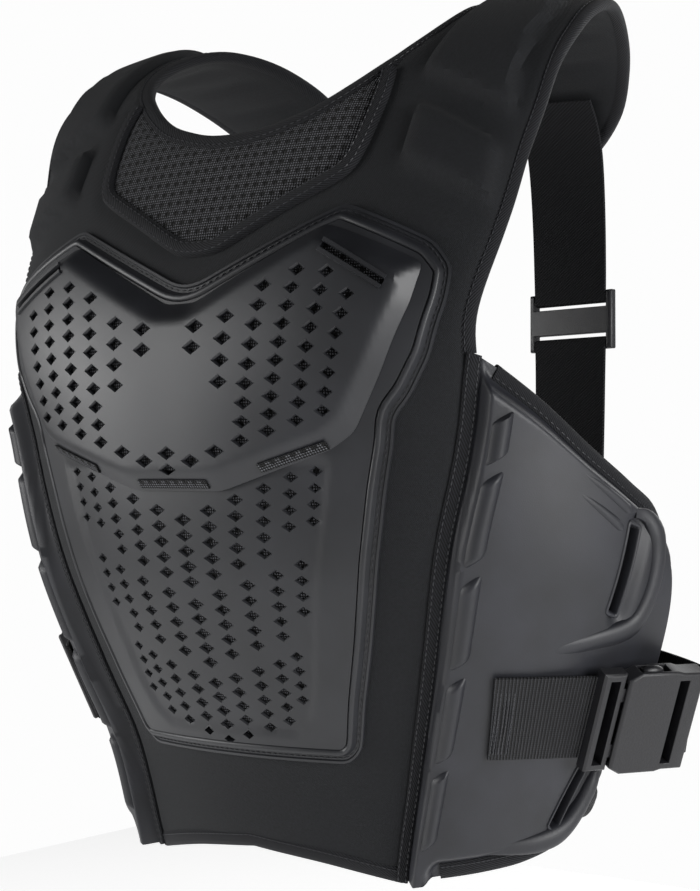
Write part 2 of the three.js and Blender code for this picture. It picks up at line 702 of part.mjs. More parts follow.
// Point of the seam on the flat pattern at a height
function seamPoint(up) {
  const y = up * front_run;
  const index = Math.max(seam.findIndex((point) => point.y > y), 1);
  const share = (y - seam[index - 1].y) / (seam[index].y - seam[index - 1].y);
  return seam[index - 1].clone().lerp(seam[index], share);
}

pair('wing', wing(), moulded_foam);
pair('wing_binding', tape(trimmed(wing_free), foldedOver(-wing_thick, 0)), binding_tape);
pair('seam', tape(trimmed(seam), [
  [-seam_width / 2, lay_gap], [-seam_width / 2, lay_gap + seam_rise],
  [seam_width / 2, lay_gap + seam_rise], [seam_width / 2, lay_gap],
]), binding_tape);

// Lower back panel, which reaches forward under the wings
const binding_rise = fold_gap + tape_thick;
const back_high = -wing_thick - binding_rise - lay_gap;
const back_low = back_high - back_thick;
const back_top = smoothEdge(BACK_TOP, back_step);
const back_side = smoothEdge(BACK_SIDE, back_step);
const back_foot = smoothEdge(BACK_FOOT, back_step);
const about_back = (points) => points.map((point) =>
  new THREE.Vector2(2 * 180 * angle_run - point.x, point.y)).reverse();
const back_half = [...back_foot, ...back_side.slice(1, -1), ...back_top.slice(0, -1)];
const back_outline = distinct([...back_half, back_top[back_top.length - 1],
  ...about_back(back_half).slice(0, -1)]).reverse();
piece('back_panel', worn(sheet(back_outline, back_low, back_high, back_cell)), textile);
piece('back_binding', tape(back_outline, foldedOver(back_low, back_high), true), binding_tape);

// A rigid block in its own frame, x along the strap, y across it and z off its face
function block(outline, low, high, bevel = 0) {
  const geometry = new THREE.ExtrudeGeometry(
    new THREE.Shape(outline.map(([x, y]) => new THREE.Vector2(x, y))), {
      depth: high - low - 2 * bevel,
      bevelEnabled: bevel > 0,
      bevelThickness: bevel,
      bevelSize: bevel,
      bevelOffset: -bevel,
      bevelSegments: 1,
    });
  return toSolid(geometry.translate(0, 0, low + bevel));
}

const rectangle = (x_low, x_high, y_low, y_high) =>
  [[x_low, y_low], [x_high, y_low], [x_high, y_high], [x_low, y_high]];

// The strap's half thickness is the height of a bar's underside above its middle, less the gap
const bar_low = web_thick / 2 + gap;
const web_half = web_width / 2 + slot_play;
const strap_half = strap_width / 2 + slot_play;

// Room for a strap that passes under an end bar and up through the slot beside it
function strapRoom(bar_from, bar_to, slot_from, slot_to, half) {
  return block(rectangle(slot_from, slot_to, -half, half), -knife_margin, knife_margin + buckle_thick)
    .add(block(rectangle(bar_from, bar_to, -half, half), -knife_margin, bar_low));
}

function buckleMale() {
  const half = web_half + rail_width;
  const low = -web_thick / 2;
  const prong_low = low + buckle_wall + gap;
  const prong_high = low + buckle_thick - buckle_wall - gap;
  const base = block(rectangle(0, male_length - gap, -half, half), low, prong_high, round_over)
    .subtract(strapRoom(-gap, bar_width, bar_width, bar_width + strap_slot, web_half));
  const root = male_length - rail_width;
  return [-1, 1].reduce((solid, side) => {
    const inner = side * (prong_place - prong_width / 2);
    const outer = side * (prong_place + prong_width / 2);
    const hook_end = side * (buckle_width / 2 - round_over);
    return solid
      .add(block(ordered(root, prong_reach, inner, outer), prong_low, prong_high))
      .add(block(ordered(hook_start, hook_start + hook_length, inner, hook_end), prong_low, prong_high));
  }, base);
}

const ordered = (x_low, x_high, y_a, y_b) => rectangle(x_low, x_high, Math.min(y_a, y_b), Math.max(y_a, y_b));

function buckleFemale() {
  const half = buckle_width / 2;
  const low = -web_thick / 2;
  const high = low + buckle_thick;
  const cavity = [low + buckle_wall, high - buckle_wall];
  const cavity_end = prong_reach + window_play;
  const slot_start = buckle_length - end_bar_width - strap_slot;
  const outline = [
    [male_length, -half + buckle_taper], [hook_start - window_play, -half], [cavity_end, -half],
    [cavity_end + buckle_taper, -half + round_over], [buckle_length, -half + round_over],
    [buckle_length, half - round_over], [cavity_end + buckle_taper, half - round_over],
    [cavity_end, half], [hook_start - window_play, half], [male_length, half - buckle_taper],
  ];
  const inner_half = prong_place + prong_width / 2 + window_play;
  return block(outline, low, high, round_over)
    .subtract(block(rectangle(0, cavity_end, -inner_half, inner_half), ...cavity))
    .subtract(block(rectangle(hook_start - window_play, hook_start + hook_length + window_play,
      -half - gap, half + gap), ...cavity))
    .subtract(strapRoom(
      slot_start + strap_slot, buckle_length + gap, slot_start, slot_start + strap_slot, web_half));
}

function slider() {
  const half = slider_length / 2;
  const across = strap_half + rail_width;
  const inner = half - bar_width;
  const low = -strap_thick / 2;
  return block(rectangle(-half, half, -across, across), low, slider_thick + low, round_over)
    .subtract(strapRoom(-half - gap, -inner, -inner, -inner + strap_slot, strap_half))
    .subtract(strapRoom(inner, half + gap, inner - strap_slot, inner, strap_half));
}

// A place with the direction that a strap runs in there, the direction across it and its face's direction
function frameAt(place, along, face) {
  const outward = face.clone().addScaledVector(along, -face.dot(along)).normalize();
  return { place, along, face: outward, across: outward.clone().cross(along) };
}

function inFrame({ place, along, face }, x, z) {
  return place.clone().addScaledVector(along, x).addScaledVector(face, z);
}

// Stations of a strap that runs straight to a slot, under its bar, and turns up through it
function turnedUp(frame, slot_from, way) {
  const bends = [
    { x: 0, z: 0, lean: 0 }, { x: web_thick, z: web_thick / 3, lean: 45 },
    { x: web_thick * 1.3, z: strap_slot / 2, lean: 90 },
  ];
  return bends.map(({ x, z, lean }) => {
    const turn = THREE.MathUtils.degToRad(lean);
    const face = frame.face.clone().multiplyScalar(Math.cos(turn))
      .addScaledVector(frame.along, -way * Math.sin(turn));
    return { place: inFrame(frame, slot_from + way * (x + slot_play), z), across: frame.across, face };
  });
}

// A station of a strap that lies on the body form
function lying(angle, up, height) {
  const { rise, outward } = skinAxes(angle, up);
  return { place: offSkin(angle, up, height), across: rise, face: outward };
}

// Stations along a curve between two frames, whose ends it leaves in line for the lengths given
function between(from, to, from_pull, to_pull, count) {
  const curve = new THREE.CubicBezierCurve3(
    from.place, from.place.clone().addScaledVector(from.along, from_pull),
    to.place.clone().addScaledVector(to.along, -to_pull), to.place);
  return Array.from({ length: count }, (_, index) => {
    const share = (index + 1) / (count + 1);
    const along = curve.getTangent(share);
    const across = from.across.clone().lerp(to.across, share);
    return frameAt(curve.getPoint(share), along, along.clone().cross(across));
  });
}

function set(mesh, { place, along, across, face }) {
  const basis = new THREE.Matrix4().makeBasis(along, across, face).setPosition(place);
  mesh.applyMatrix4(basis);
}

function mirrorFrame({ place, along, face }) {
  const turned = (vector) => new THREE.Vector3(-vector.x, vector.y, vector.z);
  return frameAt(turned(place), turned(along), turned(face));
}

// A rigid piece in a frame on the wearer's left, and its twin in the mirrored frame
function rigidPair(name, solid, frame) {
  set(piece(`${name}_left`, toGeometry(solid), acetal), frame);
  set(piece(`${name}_right`, toGeometry(solid), acetal), mirrorFrame(frame));
}

// Waist fastening: webbing sewn on the wing, a buckle that stands straight off it, and the elastic that runs
// from the buckle to the back panel
const web_height = wing_rise + lay_gap + web_thick / 2;
const web_shares = [0, 0.5, 1];
const web_axes = skinAxes(WAIST.web_end, WAIST.up);
const buckle_axes = skinAxes(WAIST.buckle, WAIST.up);
const buckle_frame = frameAt(
  offSkin(WAIST.web_end, WAIST.up, web_height).addScaledVector(web_axes.round, buckle_lead),
  buckle_axes.round, buckle_axes.outward);
pair('waist_web', strap([
  ...web_shares.map((share) => lying(
    THREE.MathUtils.lerp(WAIST.web_start, WAIST.web_end, share), WAIST.up, web_height)),
  { ...buckle_frame, place: inFrame(buckle_frame, -bar_width, 0) },
  ...turnedUp(buckle_frame, bar_width, 1),
], web_width, web_thick), webbing);
rigidPair('buckle_male', buckleMale(), buckle_frame);
rigidPair('buckle_female', buckleFemale(), buckle_frame);

const elastic_bend = 11;
const elastic_reach = 30;
const elastic_steps = 7;
const elastic_shares = [0.25, 0.5, 0.75, 1];
const back_height = back_high + lay_gap + web_thick / 2;
const elastic_axes = skinAxes(WAIST.elastic_start, WAIST.up);
const elastic_away = { ...buckle_frame, place: inFrame(buckle_frame, buckle_length + bar_width, 0) };
const elastic_home = frameAt(
  offSkin(WAIST.elastic_start, WAIST.up, back_height), elastic_axes.round, elastic_axes.outward);
pair('waist_elastic', strap([
  ...turnedUp(buckle_frame, buckle_length - end_bar_width, -1).reverse(),
  elastic_away, ...between(elastic_away, elastic_home, elastic_bend, elastic_reach, elastic_steps), elastic_home,
  ...elastic_shares.map((share) => lying(
    THREE.MathUtils.lerp(WAIST.elastic_start, WAIST.elastic_end, share), WAIST.up, back_height)),
], web_width, web_thick), elastic);

// Back straps: elastic from under each rear lobe through a slider and down to the back panel
const lobe_height = -panel_thick - lobe_gap - strap_thick / 2;
const foot_height = back_high + binding_rise + gap + strap_thick / 2;
const footAngle = (up) => 180 - angleOf(BACK_STRAP.out, up);
const crosswise = new THREE.Vector3(1, 0, 0);

function hanging(angle, up, height, way) {
  const { rise, outward } = skinAxes(angle, up);
  return frameAt(offSkin(angle, up, height), rise.multiplyScalar(way), outward);
}

const lobe_shares = [0, 0.33, 0.67, 1];
const lobe_frames = lobe_shares.map((share) => {
  const up = THREE.MathUtils.lerp(BACK_STRAP.lobe_start, BACK_STRAP.lobe_end, share);
  return hanging(angleOf(BACK_STRAP.out, up), up, lobe_height, 1);
});
const foot_frames = [BACK_STRAP.foot_start, BACK_STRAP.foot_end].map((up) =>
  hanging(footAngle(up), up, foot_height, -1));
const strap_pull = 60;
const strap_steps = 9;
const strap_run = between(
  lobe_frames[lobe_frames.length - 1], foot_frames[0], strap_pull, strap_pull, strap_steps);
const slider_step = Math.round(SLIDER_PLACE * strap_steps);
const slider_frame = strap_run[slider_step];
const slot_inner = slider_length / 2 - bar_width;
pair('back_strap_upper', strap([
  ...lobe_frames, ...strap_run.slice(0, slider_step), ...turnedUp(slider_frame, -slot_inner, 1),
], strap_width, strap_thick), elastic);
pair('back_strap_lower', strap([
  ...turnedUp(slider_frame, slot_inner, -1).reverse(), ...strap_run.slice(slider_step + 1), ...foot_frames,
], strap_width, strap_thick), elastic);
rigidPair('slider', slider(), slider_frame);

export default protector;
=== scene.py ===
import json
import math

import bmesh
import bpy
import numpy as np
from mathutils import Matrix, Vector

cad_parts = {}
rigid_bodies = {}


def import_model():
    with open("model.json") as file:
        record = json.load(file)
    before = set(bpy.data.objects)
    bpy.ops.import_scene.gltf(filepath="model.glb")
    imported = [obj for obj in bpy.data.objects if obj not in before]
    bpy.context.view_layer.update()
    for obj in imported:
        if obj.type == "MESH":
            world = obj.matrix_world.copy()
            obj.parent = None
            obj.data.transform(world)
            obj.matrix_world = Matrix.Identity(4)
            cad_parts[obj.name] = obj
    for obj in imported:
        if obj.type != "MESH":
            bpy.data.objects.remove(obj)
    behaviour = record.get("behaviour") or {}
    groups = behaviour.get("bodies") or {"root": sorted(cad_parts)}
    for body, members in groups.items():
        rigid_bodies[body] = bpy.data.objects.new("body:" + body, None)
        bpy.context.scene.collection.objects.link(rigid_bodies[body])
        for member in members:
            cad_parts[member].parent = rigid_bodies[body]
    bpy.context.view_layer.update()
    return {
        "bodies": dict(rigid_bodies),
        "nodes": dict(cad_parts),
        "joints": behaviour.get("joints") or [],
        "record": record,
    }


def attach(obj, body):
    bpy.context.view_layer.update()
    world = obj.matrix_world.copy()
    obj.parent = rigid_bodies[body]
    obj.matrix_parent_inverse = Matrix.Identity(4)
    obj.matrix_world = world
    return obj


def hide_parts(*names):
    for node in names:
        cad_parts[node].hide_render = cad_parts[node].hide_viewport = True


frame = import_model()

# Camera, floor and light. The protector hangs at its shoulders, so the camera looks level at its middle from
# the photographer's place, ahead and to the wearer's left. A pale floor lies below, under a soft pale sky
# that is dimmer overhead, with a large soft box on either side of the chest.
camera = bpy.data.objects.new("camera", bpy.data.cameras.new("camera"))
camera.location = (0.6513, -0.9014, -0.2540)
camera.rotation_euler = (math.radians(90), 0, math.radians(36))
camera.data.sensor_width = 36
camera.data.lens = 73.9
camera.data.shift_y = 0.0306
bpy.context.scene.collection.objects.link(camera)
bpy.context.scene.camera = camera
bpy.context.scene.view_settings.view_transform = "Standard"


def linear(hex_colour):
    """A colour's linear value from its sRGB hex one."""
    parts = [int(hex_colour[at:at + 2], 16) / 255 for at in (1, 3, 5)]
    return (*[c / 12.92 if c <= 0.04045 else ((c + 0.055) / 1.055) ** 2.4 for c in parts], 1.0)


def add_node(tree, kind, settings=None, links=None):
    """A node with its settings, by input or property name, and the sockets that feed it."""
    node = tree.nodes.new(kind)
    for key, value in (settings or {}).items():
        if isinstance(key, int) or key in node.inputs:
            node.inputs[key].default_value = value
        else:
            setattr(node, key, value)
    for key, socket in (links or {}).items():
        tree.links.new(socket, node.inputs[key])
    return node


def ripple(tree, place, axis, pitch):
    """A sine wave along one axis of a place, a pitch apart."""
    phase = add_node(tree, "ShaderNodeMath", {"operation": "MULTIPLY", 1: 2 * math.pi / pitch},
                     {0: place.outputs[axis]})
    return add_node(tree, "ShaderNodeMath", {"operation": "SINE"}, {0: phase.outputs[0]})


def new_material(name):
    """An empty material that is made from nodes, and its tree."""
    material = bpy.data.materials.new(name)
    material.use_nodes = True
    material.node_tree.nodes.clear()
    return material, material.node_tree


floor_mesh = bmesh.new()
bmesh.ops.create_grid(floor_mesh, x_segments=1, y_segments=1, size=1.1)
bmesh.ops.translate(floor_mesh, vec=(0, 0, -0.75), verts=floor_mesh.verts)
floor_data = bpy.data.meshes.new("floor")
floor_mesh.to_mesh(floor_data)
floor_mesh.free()
floor = bpy.data.objects.new("floor", floor_data)
bpy.context.scene.collection.objects.link(floor)
floor_paint, tree = new_material("matt_floor_paint")
floor_shade = add_node(tree, "ShaderNodeBsdfPrincipled", {
    "Base Color": linear("#f4f4f4"), "Roughness": 0.9, "Emission Color": linear("#ffffff"),
    "Emission Strength": 0.6})
add_node(tree, "ShaderNodeOutputMaterial", links={"Surface": floor_shade.outputs["BSDF"]})
floor.data.materials.append(floor_paint)

world = bpy.data.worlds.new("studio")
world.use_nodes = True
tree = world.node_tree
tree.nodes.clear()
sky_way = add_node(tree, "ShaderNodeTexCoord")
sky_height = add_node(tree, "ShaderNodeSeparateXYZ", links={"Vector": sky_way.outputs["Generated"]})
sky_ramp = add_node(tree, "ShaderNodeValToRGB", links={"Fac": sky_height.outputs["Z"]})
sky_ramp.color_ramp.elements[0].position = 0.25
sky_ramp.color_ramp.elements[0].color = linear("#fafafa")
sky_ramp.color_ramp.elements[1].position = 0.7
sky_ramp.color_ramp.elements[1].color = linear("#202022")
sky = add_node(tree, "ShaderNodeBackground", {"Strength": 0.34}, {"Color": sky_ramp.outputs["Color"]})
backdrop = add_node(tree, "ShaderNodeBackground", {"Color": linear("#fdfdfd"), "Strength": 1.0})
seen = add_node(tree, "ShaderNodeLightPath")
both = add_node(tree, "ShaderNodeMixShader", links={
    0: seen.outputs["Is Camera Ray"], 1: sky.outputs["Background"], 2: backdrop.outputs["Background"]})
add_node(tree, "ShaderNodeOutputWorld", links={"Surface": both.outputs["Shader"]})
bpy.context.scene.world = world

for name, place, size, power in [
    ("soft_box_right_of_chest", (-1.35, -1.1, 0.0), 0.9, 17),
    ("soft_box_left_of_chest", (1.7, -0.35, -0.1), 0.8, 24),
    ("soft_box_behind", (0.3, 1.6, 0.5), 1.2, 10),
]:
    light = bpy.data.objects.new(name, bpy.data.lights.new(name, "AREA"))
    light.data.energy = power
    light.data.size = size
    light.location = place
    light.rotation_euler = (Vector((0, 0, -0.25)) - Vector(place)).to_track_quat("-Z", "Y").to_euler()
    bpy.context.scene.collection.objects.link(light)

# Front panel: one piece of knit-faced foam, cut flat and moulded to the chest and over both shoulders, with
# two pads pressed into each shoulder. The pieces are drawn on its flat pattern, in millimetres, where x runs
# round the body from the middle of the chest and y up it, and then laid on the body form.
MM = 0.001
GARMENT_HEIGHT = 490
CHEST_DEPTH = 160
BACK_DEPTH = 105
CHEST_WIDTH = 412
CREST_HEIGHT = 17
ANGLE_RUN = 3.5
PANEL_THICK = 8
EDGE_PINCH = 2.2
SEAM_PINCH = 1.2
BIB_PINCH = 1.4
PAD_RISE = 6.5
HELD_MARGIN = 6
FILL_EASE = 12

# Sections of the body form from below the hem to behind the shoulder: share of the front's run, drop as a
# share of the height, fore and side as shares of the depth, lean in degrees, half width share, flatness
SECTIONS = np.array([
    (0.000, 1.043, 0.581, 0, 0.728, 0.700, 1.00), (0.042, 0.992, 0.613, 0, 0.738, 0.700, 1.00),
    (0.136, 0.880, 0.681, 0, 0.801, 0.763, 1.00), (0.226, 0.778, 0.806, 0, 0.898, 0.863, 1.00),
    (0.332, 0.655, 0.938, 0, 0.981, 0.975, 1.05), (0.450, 0.512, 0.994, 0, 1.000, 1.025, 1.25),
    (0.550, 0.390, 0.981, 5, 1.010, 1.031, 1.60), (0.652, 0.267, 0.868, 12, 1.029, 0.893, 1.55),
    (0.802, 0.102, 0.606, 50, 1.044, 0.425, 1.12), (0.909, 0.029, 0.331, 78, 1.092, 0.263, 1.00),
    (1.000, 0.000, 0.000, 90, 1.117, 0.169, 1.00), (1.095, 0.031, -0.344, 112, 1.107, 0.219, 1.00),
    (1.183, 0.100, -0.594, 140, 1.068, 0.313, 1.00), (1.275, 0.206, -0.700, 165, 1.019, 0.375, 1.00),
    (1.342, 0.288, -0.731, 175, 0.995, 0.438, 1.00),
])
DROP, FORE, LEAN, HALF, SIDE, FLATNESS = range(1, 7)
front_rows = SECTIONS[SECTIONS[:, 0] <= 1]
FRONT_RUN = float(np.hypot(
    np.diff(front_rows[:, DROP]) * GARMENT_HEIGHT, np.diff(front_rows[:, FORE]) * CHEST_DEPTH).sum())


def section(column, up):
    """Smooth value of a column of the sections at heights up the front."""
    ups, values = SECTIONS[:, 0], SECTIONS[:, column]
    last = len(ups) - 1
    ends = np.arange(last + 1)
    before, after = np.maximum(ends - 1, 0), np.minimum(ends + 1, last)
    slopes = (values[after] - values[before]) / (ups[after] - ups[before])
    row = np.clip(np.searchsorted(ups, up, side="left") - 1, 0, last - 1)
    span = ups[row + 1] - ups[row]
    t = (up - ups[row]) / span
    rest = 1 - t
    return (values[row] * rest * rest * (1 + 2 * t) + values[row + 1] * t * t * (3 - 2 * t)
            + slopes[row] * span * t * rest * rest - slopes[row + 1] * span * t * t * rest)


def skin(angle, up):
    """Points of the body form's outer face."""
    turn, lean = np.radians(angle), np.radians(section(LEAN, up))
    side = section(SIDE, up) * CHEST_DEPTH
    ahead = np.maximum(1 - np.cos(turn), 0)
    depth = np.where(np.cos(turn) > 0, side * ahead ** section(FLATNESS, up),
                     side - BACK_DEPTH * np.cos(turn))
    return np.stack([
        section(HALF, up) * CHEST_WIDTH / 2 * np.sin(turn),
        depth * np.cos(lean) - section(FORE, up) * CHEST_DEPTH,
        CREST_HEIGHT - section(DROP, up) * GARMENT_HEIGHT - depth * np.sin(lean)], axis=-1)


def skin_axes(angle, up):
    """Directions round the body, up it and outwards."""
    around = skin(angle + 1e-3, up) - skin(angle - 1e-3, up)
    rise = skin(angle, up + 1e-4) - skin(angle, up - 1e-4)
    around /= np.linalg.norm(around, axis=-1, keepdims=True)
    outward = np.cross(around, rise)
    outward /= np.linalg.norm(outward, axis=-1, keepdims=True)
    return around, np.cross(outward, around), outward


def lay(x, y, height):
    """Places in metres of points of the flat pattern at heights over the body form."""
    angle, up = np.asarray(x) / ANGLE_RUN, np.asarray(y) / FRONT_RUN
    return (skin(angle, up) + skin_axes(angle, up)[2] * np.asarray(height)[..., None]) * MM


def across(out, up):
    """A point of the flat pattern from its distance out, as a share of half the chest's width."""
    return (math.degrees(math.asin(min(out / float(section(HALF, np.array(up))), 1))) * ANGLE_RUN,
            up * FRONT_RUN)


def round_body(angle, up):
    """A point of the flat pattern from its angle round the body."""
    return (angle * ANGLE_RUN, up * FRONT_RUN)


def bent(points, count):
    """Rows of values along a smooth curve through a few of them."""
    last = len(points) - 1
    fine = []
    for at in np.linspace(0, last, count):
        i = min(int(at), last - 1)
        t = at - i
        p0, p1, p2, p3 = points[max(i - 1, 0)], points[i], points[i + 1], points[min(i + 2, last)]
        v0, v1 = (p2 - p0) / 2, (p3 - p1) / 2
        fine.append((2 * p1 - 2 * p2 + v0 + v1) * t ** 3 + (-3 * p1 + 3 * p2 - 2 * v0 - v1) * t ** 2
                    + v0 * t + p1)
    return np.array(fine)


def smooth_edge(points, step):
    """An even line through points of the flat pattern, bent smoothly."""
    return evenly(bent(np.array(points, float), 40 * len(points)), step)


def evenly(line, step):
    """The same line with its points a step apart."""
    run = np.concatenate([[0], np.cumsum(np.linalg.norm(np.diff(line, axis=0), axis=1))])
    at = np.linspace(0, run[-1], max(round(run[-1] / step), 1) + 1)
    return np.stack([np.interp(at, run, line[:, 0]), np.interp(at, run, line[:, 1])], axis=-1)


def flipped(line):
    """A line's mirror image on the other half of the body, run the other way."""
    return (line * [-1, 1])[::-1]


def sideways(line, distance, closed=False):
    """A line moved to its left by a distance."""
    before = np.roll(line, 1, axis=0)
    after = np.roll(line, -1, axis=0)
    if not closed:
        before[0], after[-1] = 2 * line[0] - line[1], 2 * line[-1] - line[-2]
    into, onward = line - before, after - line
    into /= np.maximum(np.linalg.norm(into, axis=1, keepdims=True), 1e-9)
    onward /= np.maximum(np.linalg.norm(onward, axis=1, keepdims=True), 1e-9)
    mean = into + onward
    mean /= np.maximum(np.linalg.norm(mean, axis=1, keepdims=True), 1e-9)
    stretch = 1 / np.maximum((mean * onward).sum(axis=1, keepdims=True), 0.6)
    return line + np.stack([-mean[:, 1], mean[:, 0]], axis=-1) * distance * stretch


def away(x, y, line, closed=False):
    """Distances from points to a line."""
    ends = np.roll(line, -1, axis=0) if closed else line[1:]
    starts = line if closed else line[:-1]
    least = np.full(len(x), 1e9)
    for (ax, ay), (bx, by) in zip(starts, ends):
        run = max((bx - ax) ** 2 + (by - ay) ** 2, 1e-9)
        t = np.clip(((x - ax) * (bx - ax) + (y - ay) * (by - ay)) / run, 0, 1)
        least = np.minimum(least, np.hypot(x - ax - t * (bx - ax), y - ay - t * (by - ay)))
    return least


def inside(x, y, outline):
    """Which points lie within a closed outline."""
    within = np.zeros(len(x), bool)
    for (ax, ay), (bx, by) in zip(outline, np.roll(outline, -1, axis=0)):
        crosses = (ay > y) != (by > y)
        within ^= crosses & (x < ax + (y - ay) * (bx - ax) / (by - ay + 1e-12))
    return within


def ease(distance, run):
    """0 at no distance and 1 past a run, smoothly."""
    t = np.clip(np.asarray(distance) / run, 0, 1)
    return t * t * (3 - 2 * t)


def cut_pattern(outline, cell, rings=()):
    """A flat sheet with this outline, ringed at distances inside it and gridded in cells."""
    sheet = bmesh.new()
    sheet.faces.new([sheet.verts.new((x, y, 0)) for x, y in outline])
    for width in rings:
        middle = [max(sheet.faces, key=lambda face: face.calc_area())]
        bmesh.ops.inset_individual(sheet, faces=middle, thickness=width, use_even_offset=True)
    for axis in range(2):
        low, high = outline[:, axis].min(), outline[:, axis].max()
        for at in np.linspace(low, high, math.ceil((high - low) / cell) + 1)[1:-1]:
            point, normal = [0.013, 0.017, 0], [0, 0, 0]
            point[axis], normal[axis] = at, 1
            bmesh.ops.bisect_plane(sheet, geom=[*sheet.verts, *sheet.edges, *sheet.faces], dist=1e-4,
                                   plane_co=point, plane_no=normal)
    return sheet


def thicken(sheet, top, bottom):
    """The sheet made solid, with its top and bottom at heights that depend on the place."""
    raised = bmesh.ops.extrude_face_region(sheet, geom=[*sheet.faces])
    upper = {item for item in raised["geom"] if isinstance(item, bmesh.types.BMVert)}
    for part, height in ((list(upper), top), ([vert for vert in sheet.verts if vert not in upper], bottom)):
        place = np.array([vert.co for vert in part])
        for vert, z in zip(part, height(place[:, 0], place[:, 1])):
            vert.co.z = z
    return sheet


def level(height):
    """A face of a flat solid at one height."""
    return lambda x, y: np.full(len(x), height)


def wear(sheet):
    """The flat pattern's solid laid on the body form, with its flat place kept as its UV map."""
    pattern = sheet.loops.layers.uv.new("pattern")
    for face in sheet.faces:
        for corner in face.loops:
            corner[pattern].uv = corner.vert.co.xy
    place = np.array([vert.co for vert in sheet.verts])
    for vert, spot in zip(sheet.verts, lay(place[:, 0], place[:, 1], place[:, 2])):
        vert.co = spot
    return sheet


SORT_WAY = Vector((0.743, 0.521, 0.419))


def put_in_order(solid):
    """Sorts a mesh's vertices, edges and faces by place, so that each run gives the same mesh."""
    solid.verts.sort(key=lambda vert: vert.co.dot(SORT_WAY))
    solid.verts.index_update()
    count = len(solid.verts)

    def rank(item):
        first, second, *others = sorted(vert.index for vert in item.verts)
        return (first * count + second) * count + (others[0] if others else 0)

    solid.edges.sort(key=rank)
    solid.faces.sort(key=rank)


def make_piece(name, solid, material, slot, *nodes, mirror=False, sharp=40):
    """A finished piece of the object from its mesh, or the twin of it on the wearer's right."""
    if mirror:
        bmesh.ops.scale(solid, vec=(-1, 1, 1), verts=solid.verts)
    bmesh.ops.recalc_face_normals(solid, faces=solid.faces)
    put_in_order(solid)
    data = bpy.data.meshes.new(name)
    solid.to_mesh(data)
    data.shade_smooth()
    data.set_sharp_from_angle(angle=math.radians(sharp))
    data.materials.append(material)
    piece = bpy.data.objects.new(name, data)
    bpy.context.scene.collection.objects.link(piece)
    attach(piece, "root")
    if nodes:
        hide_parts(*nodes)
    return piece


FILL_PRESSURE = 4
FILL_FRAMES = 20


def settle(piece, hold, cap):
    """Fills a padded piece by a cloth simulation. It bulges where it isn't held, no further than a cap."""
    data = piece.data
    rest = np.array([vert.co for vert in data.vertices])
    group = piece.vertex_groups.new(name="held")
    for vert, weight in zip(data.vertices, hold):
        group.add([vert.index], float(weight), "REPLACE")
    cloth = piece.modifiers.new("fill", "CLOTH")
    cloth.settings.vertex_group_mass = "held"
    cloth.settings.use_pressure = True
    cloth.settings.uniform_pressure_force = FILL_PRESSURE
    cloth.settings.effector_weights.gravity = 0
    cloth.settings.quality = 4
    cloth.point_cache.frame_start, cloth.point_cache.frame_end = 1, FILL_FRAMES
    for step in range(1, FILL_FRAMES + 1):
        bpy.context.scene.frame_set(step)
    graph = bpy.context.evaluated_depsgraph_get()
    filled = np.array([vert.co for vert in piece.evaluated_get(graph).data.vertices])
    piece.modifiers.remove(cloth)
    bpy.context.scene.frame_set(1)
    shift = np.nan_to_num(filled - rest)
    length = np.linalg.norm(shift, axis=1, keepdims=True)
    shift *= np.minimum(cap * MM / np.maximum(length, 1e-9), 1) * (1 - np.array(hold))[:, None]
    for vert, place in zip(data.vertices, rest + shift):
        vert.co = place


def flat_places(piece):
    """Each vertex's place in the flat pattern, from the UV map."""
    places = np.zeros((len(piece.data.vertices), 2))
    for corner, spot in zip(piece.data.loops, piece.data.uv_layers["pattern"].uv):
        places[corner.vertex_index] = spot.vector
    return places


HEM = [across(*p) for p in [(0.000, 0.052), (0.218, 0.043), (0.422, 0.028)]]
SEAM = [across(*p) for p in [
    (0.422, 0.028), (0.471, 0.108), (0.573, 0.228), (0.665, 0.342), (0.738, 0.435), (0.786, 0.520)]]
ARMHOLE = [across(*p) for p in [
    (0.786, 0.520), (0.791, 0.558), (0.825, 0.627), (0.845, 0.717), (0.874, 0.800), (0.886, 0.875),
    (0.879, 0.942), (0.850, 1.008), (0.800, 1.067), (0.738, 1.125), (0.665, 1.178), (0.573, 1.217),
    (0.476, 1.237)]]
NECK = [across(*p) for p in [
    (0.476, 1.237), (0.379, 1.225), (0.325, 1.186), (0.330, 1.130), (0.385, 1.062), (0.455, 0.998),
    (0.500, 0.930), (0.492, 0.875), (0.455, 0.836), (0.413, 0.812), (0.345, 0.785), (0.255, 0.760),
    (0.160, 0.746), (0.080, 0.739), (0.000, 0.737)]]
BIB = [across(*p) for p in [
    (0.413, 0.812), (0.455, 0.806), (0.468, 0.775), (0.465, 0.745), (0.454, 0.712), (0.434, 0.690),
    (0.390, 0.676), (0.255, 0.650), (0.120, 0.624), (0.060, 0.615), (0.000, 0.613)]]
PADS = [np.array([across(*p) for p in corners]) for corners in [
    [(0.560, 0.765), (0.560, 0.690), (0.800, 0.650), (0.800, 0.725)],
    [(0.545, 0.790), (0.810, 0.752), (0.815, 0.900), (0.745, 1.020), (0.560, 1.080), (0.570, 0.930)]]]
hem = smooth_edge(HEM, 5)
seam = smooth_edge(SEAM, 5)
armhole = smooth_edge(ARMHOLE, 5)
neck = smooth_edge(NECK, 5)
bib_edge = smooth_edge(BIB, 4)
neck_break = int(np.argmax(neck[:, 1] < BIB[0][1]))
strap_neck, bib_neck = neck[:neck_break], neck[neck_break:]
half_panel = np.concatenate([hem[1:], seam[1:], armhole[1:], strap_neck[1:], bib_edge[:-1]])
panel_outline = np.concatenate([hem[:1], half_panel, bib_edge[-1:], flipped(half_panel)])


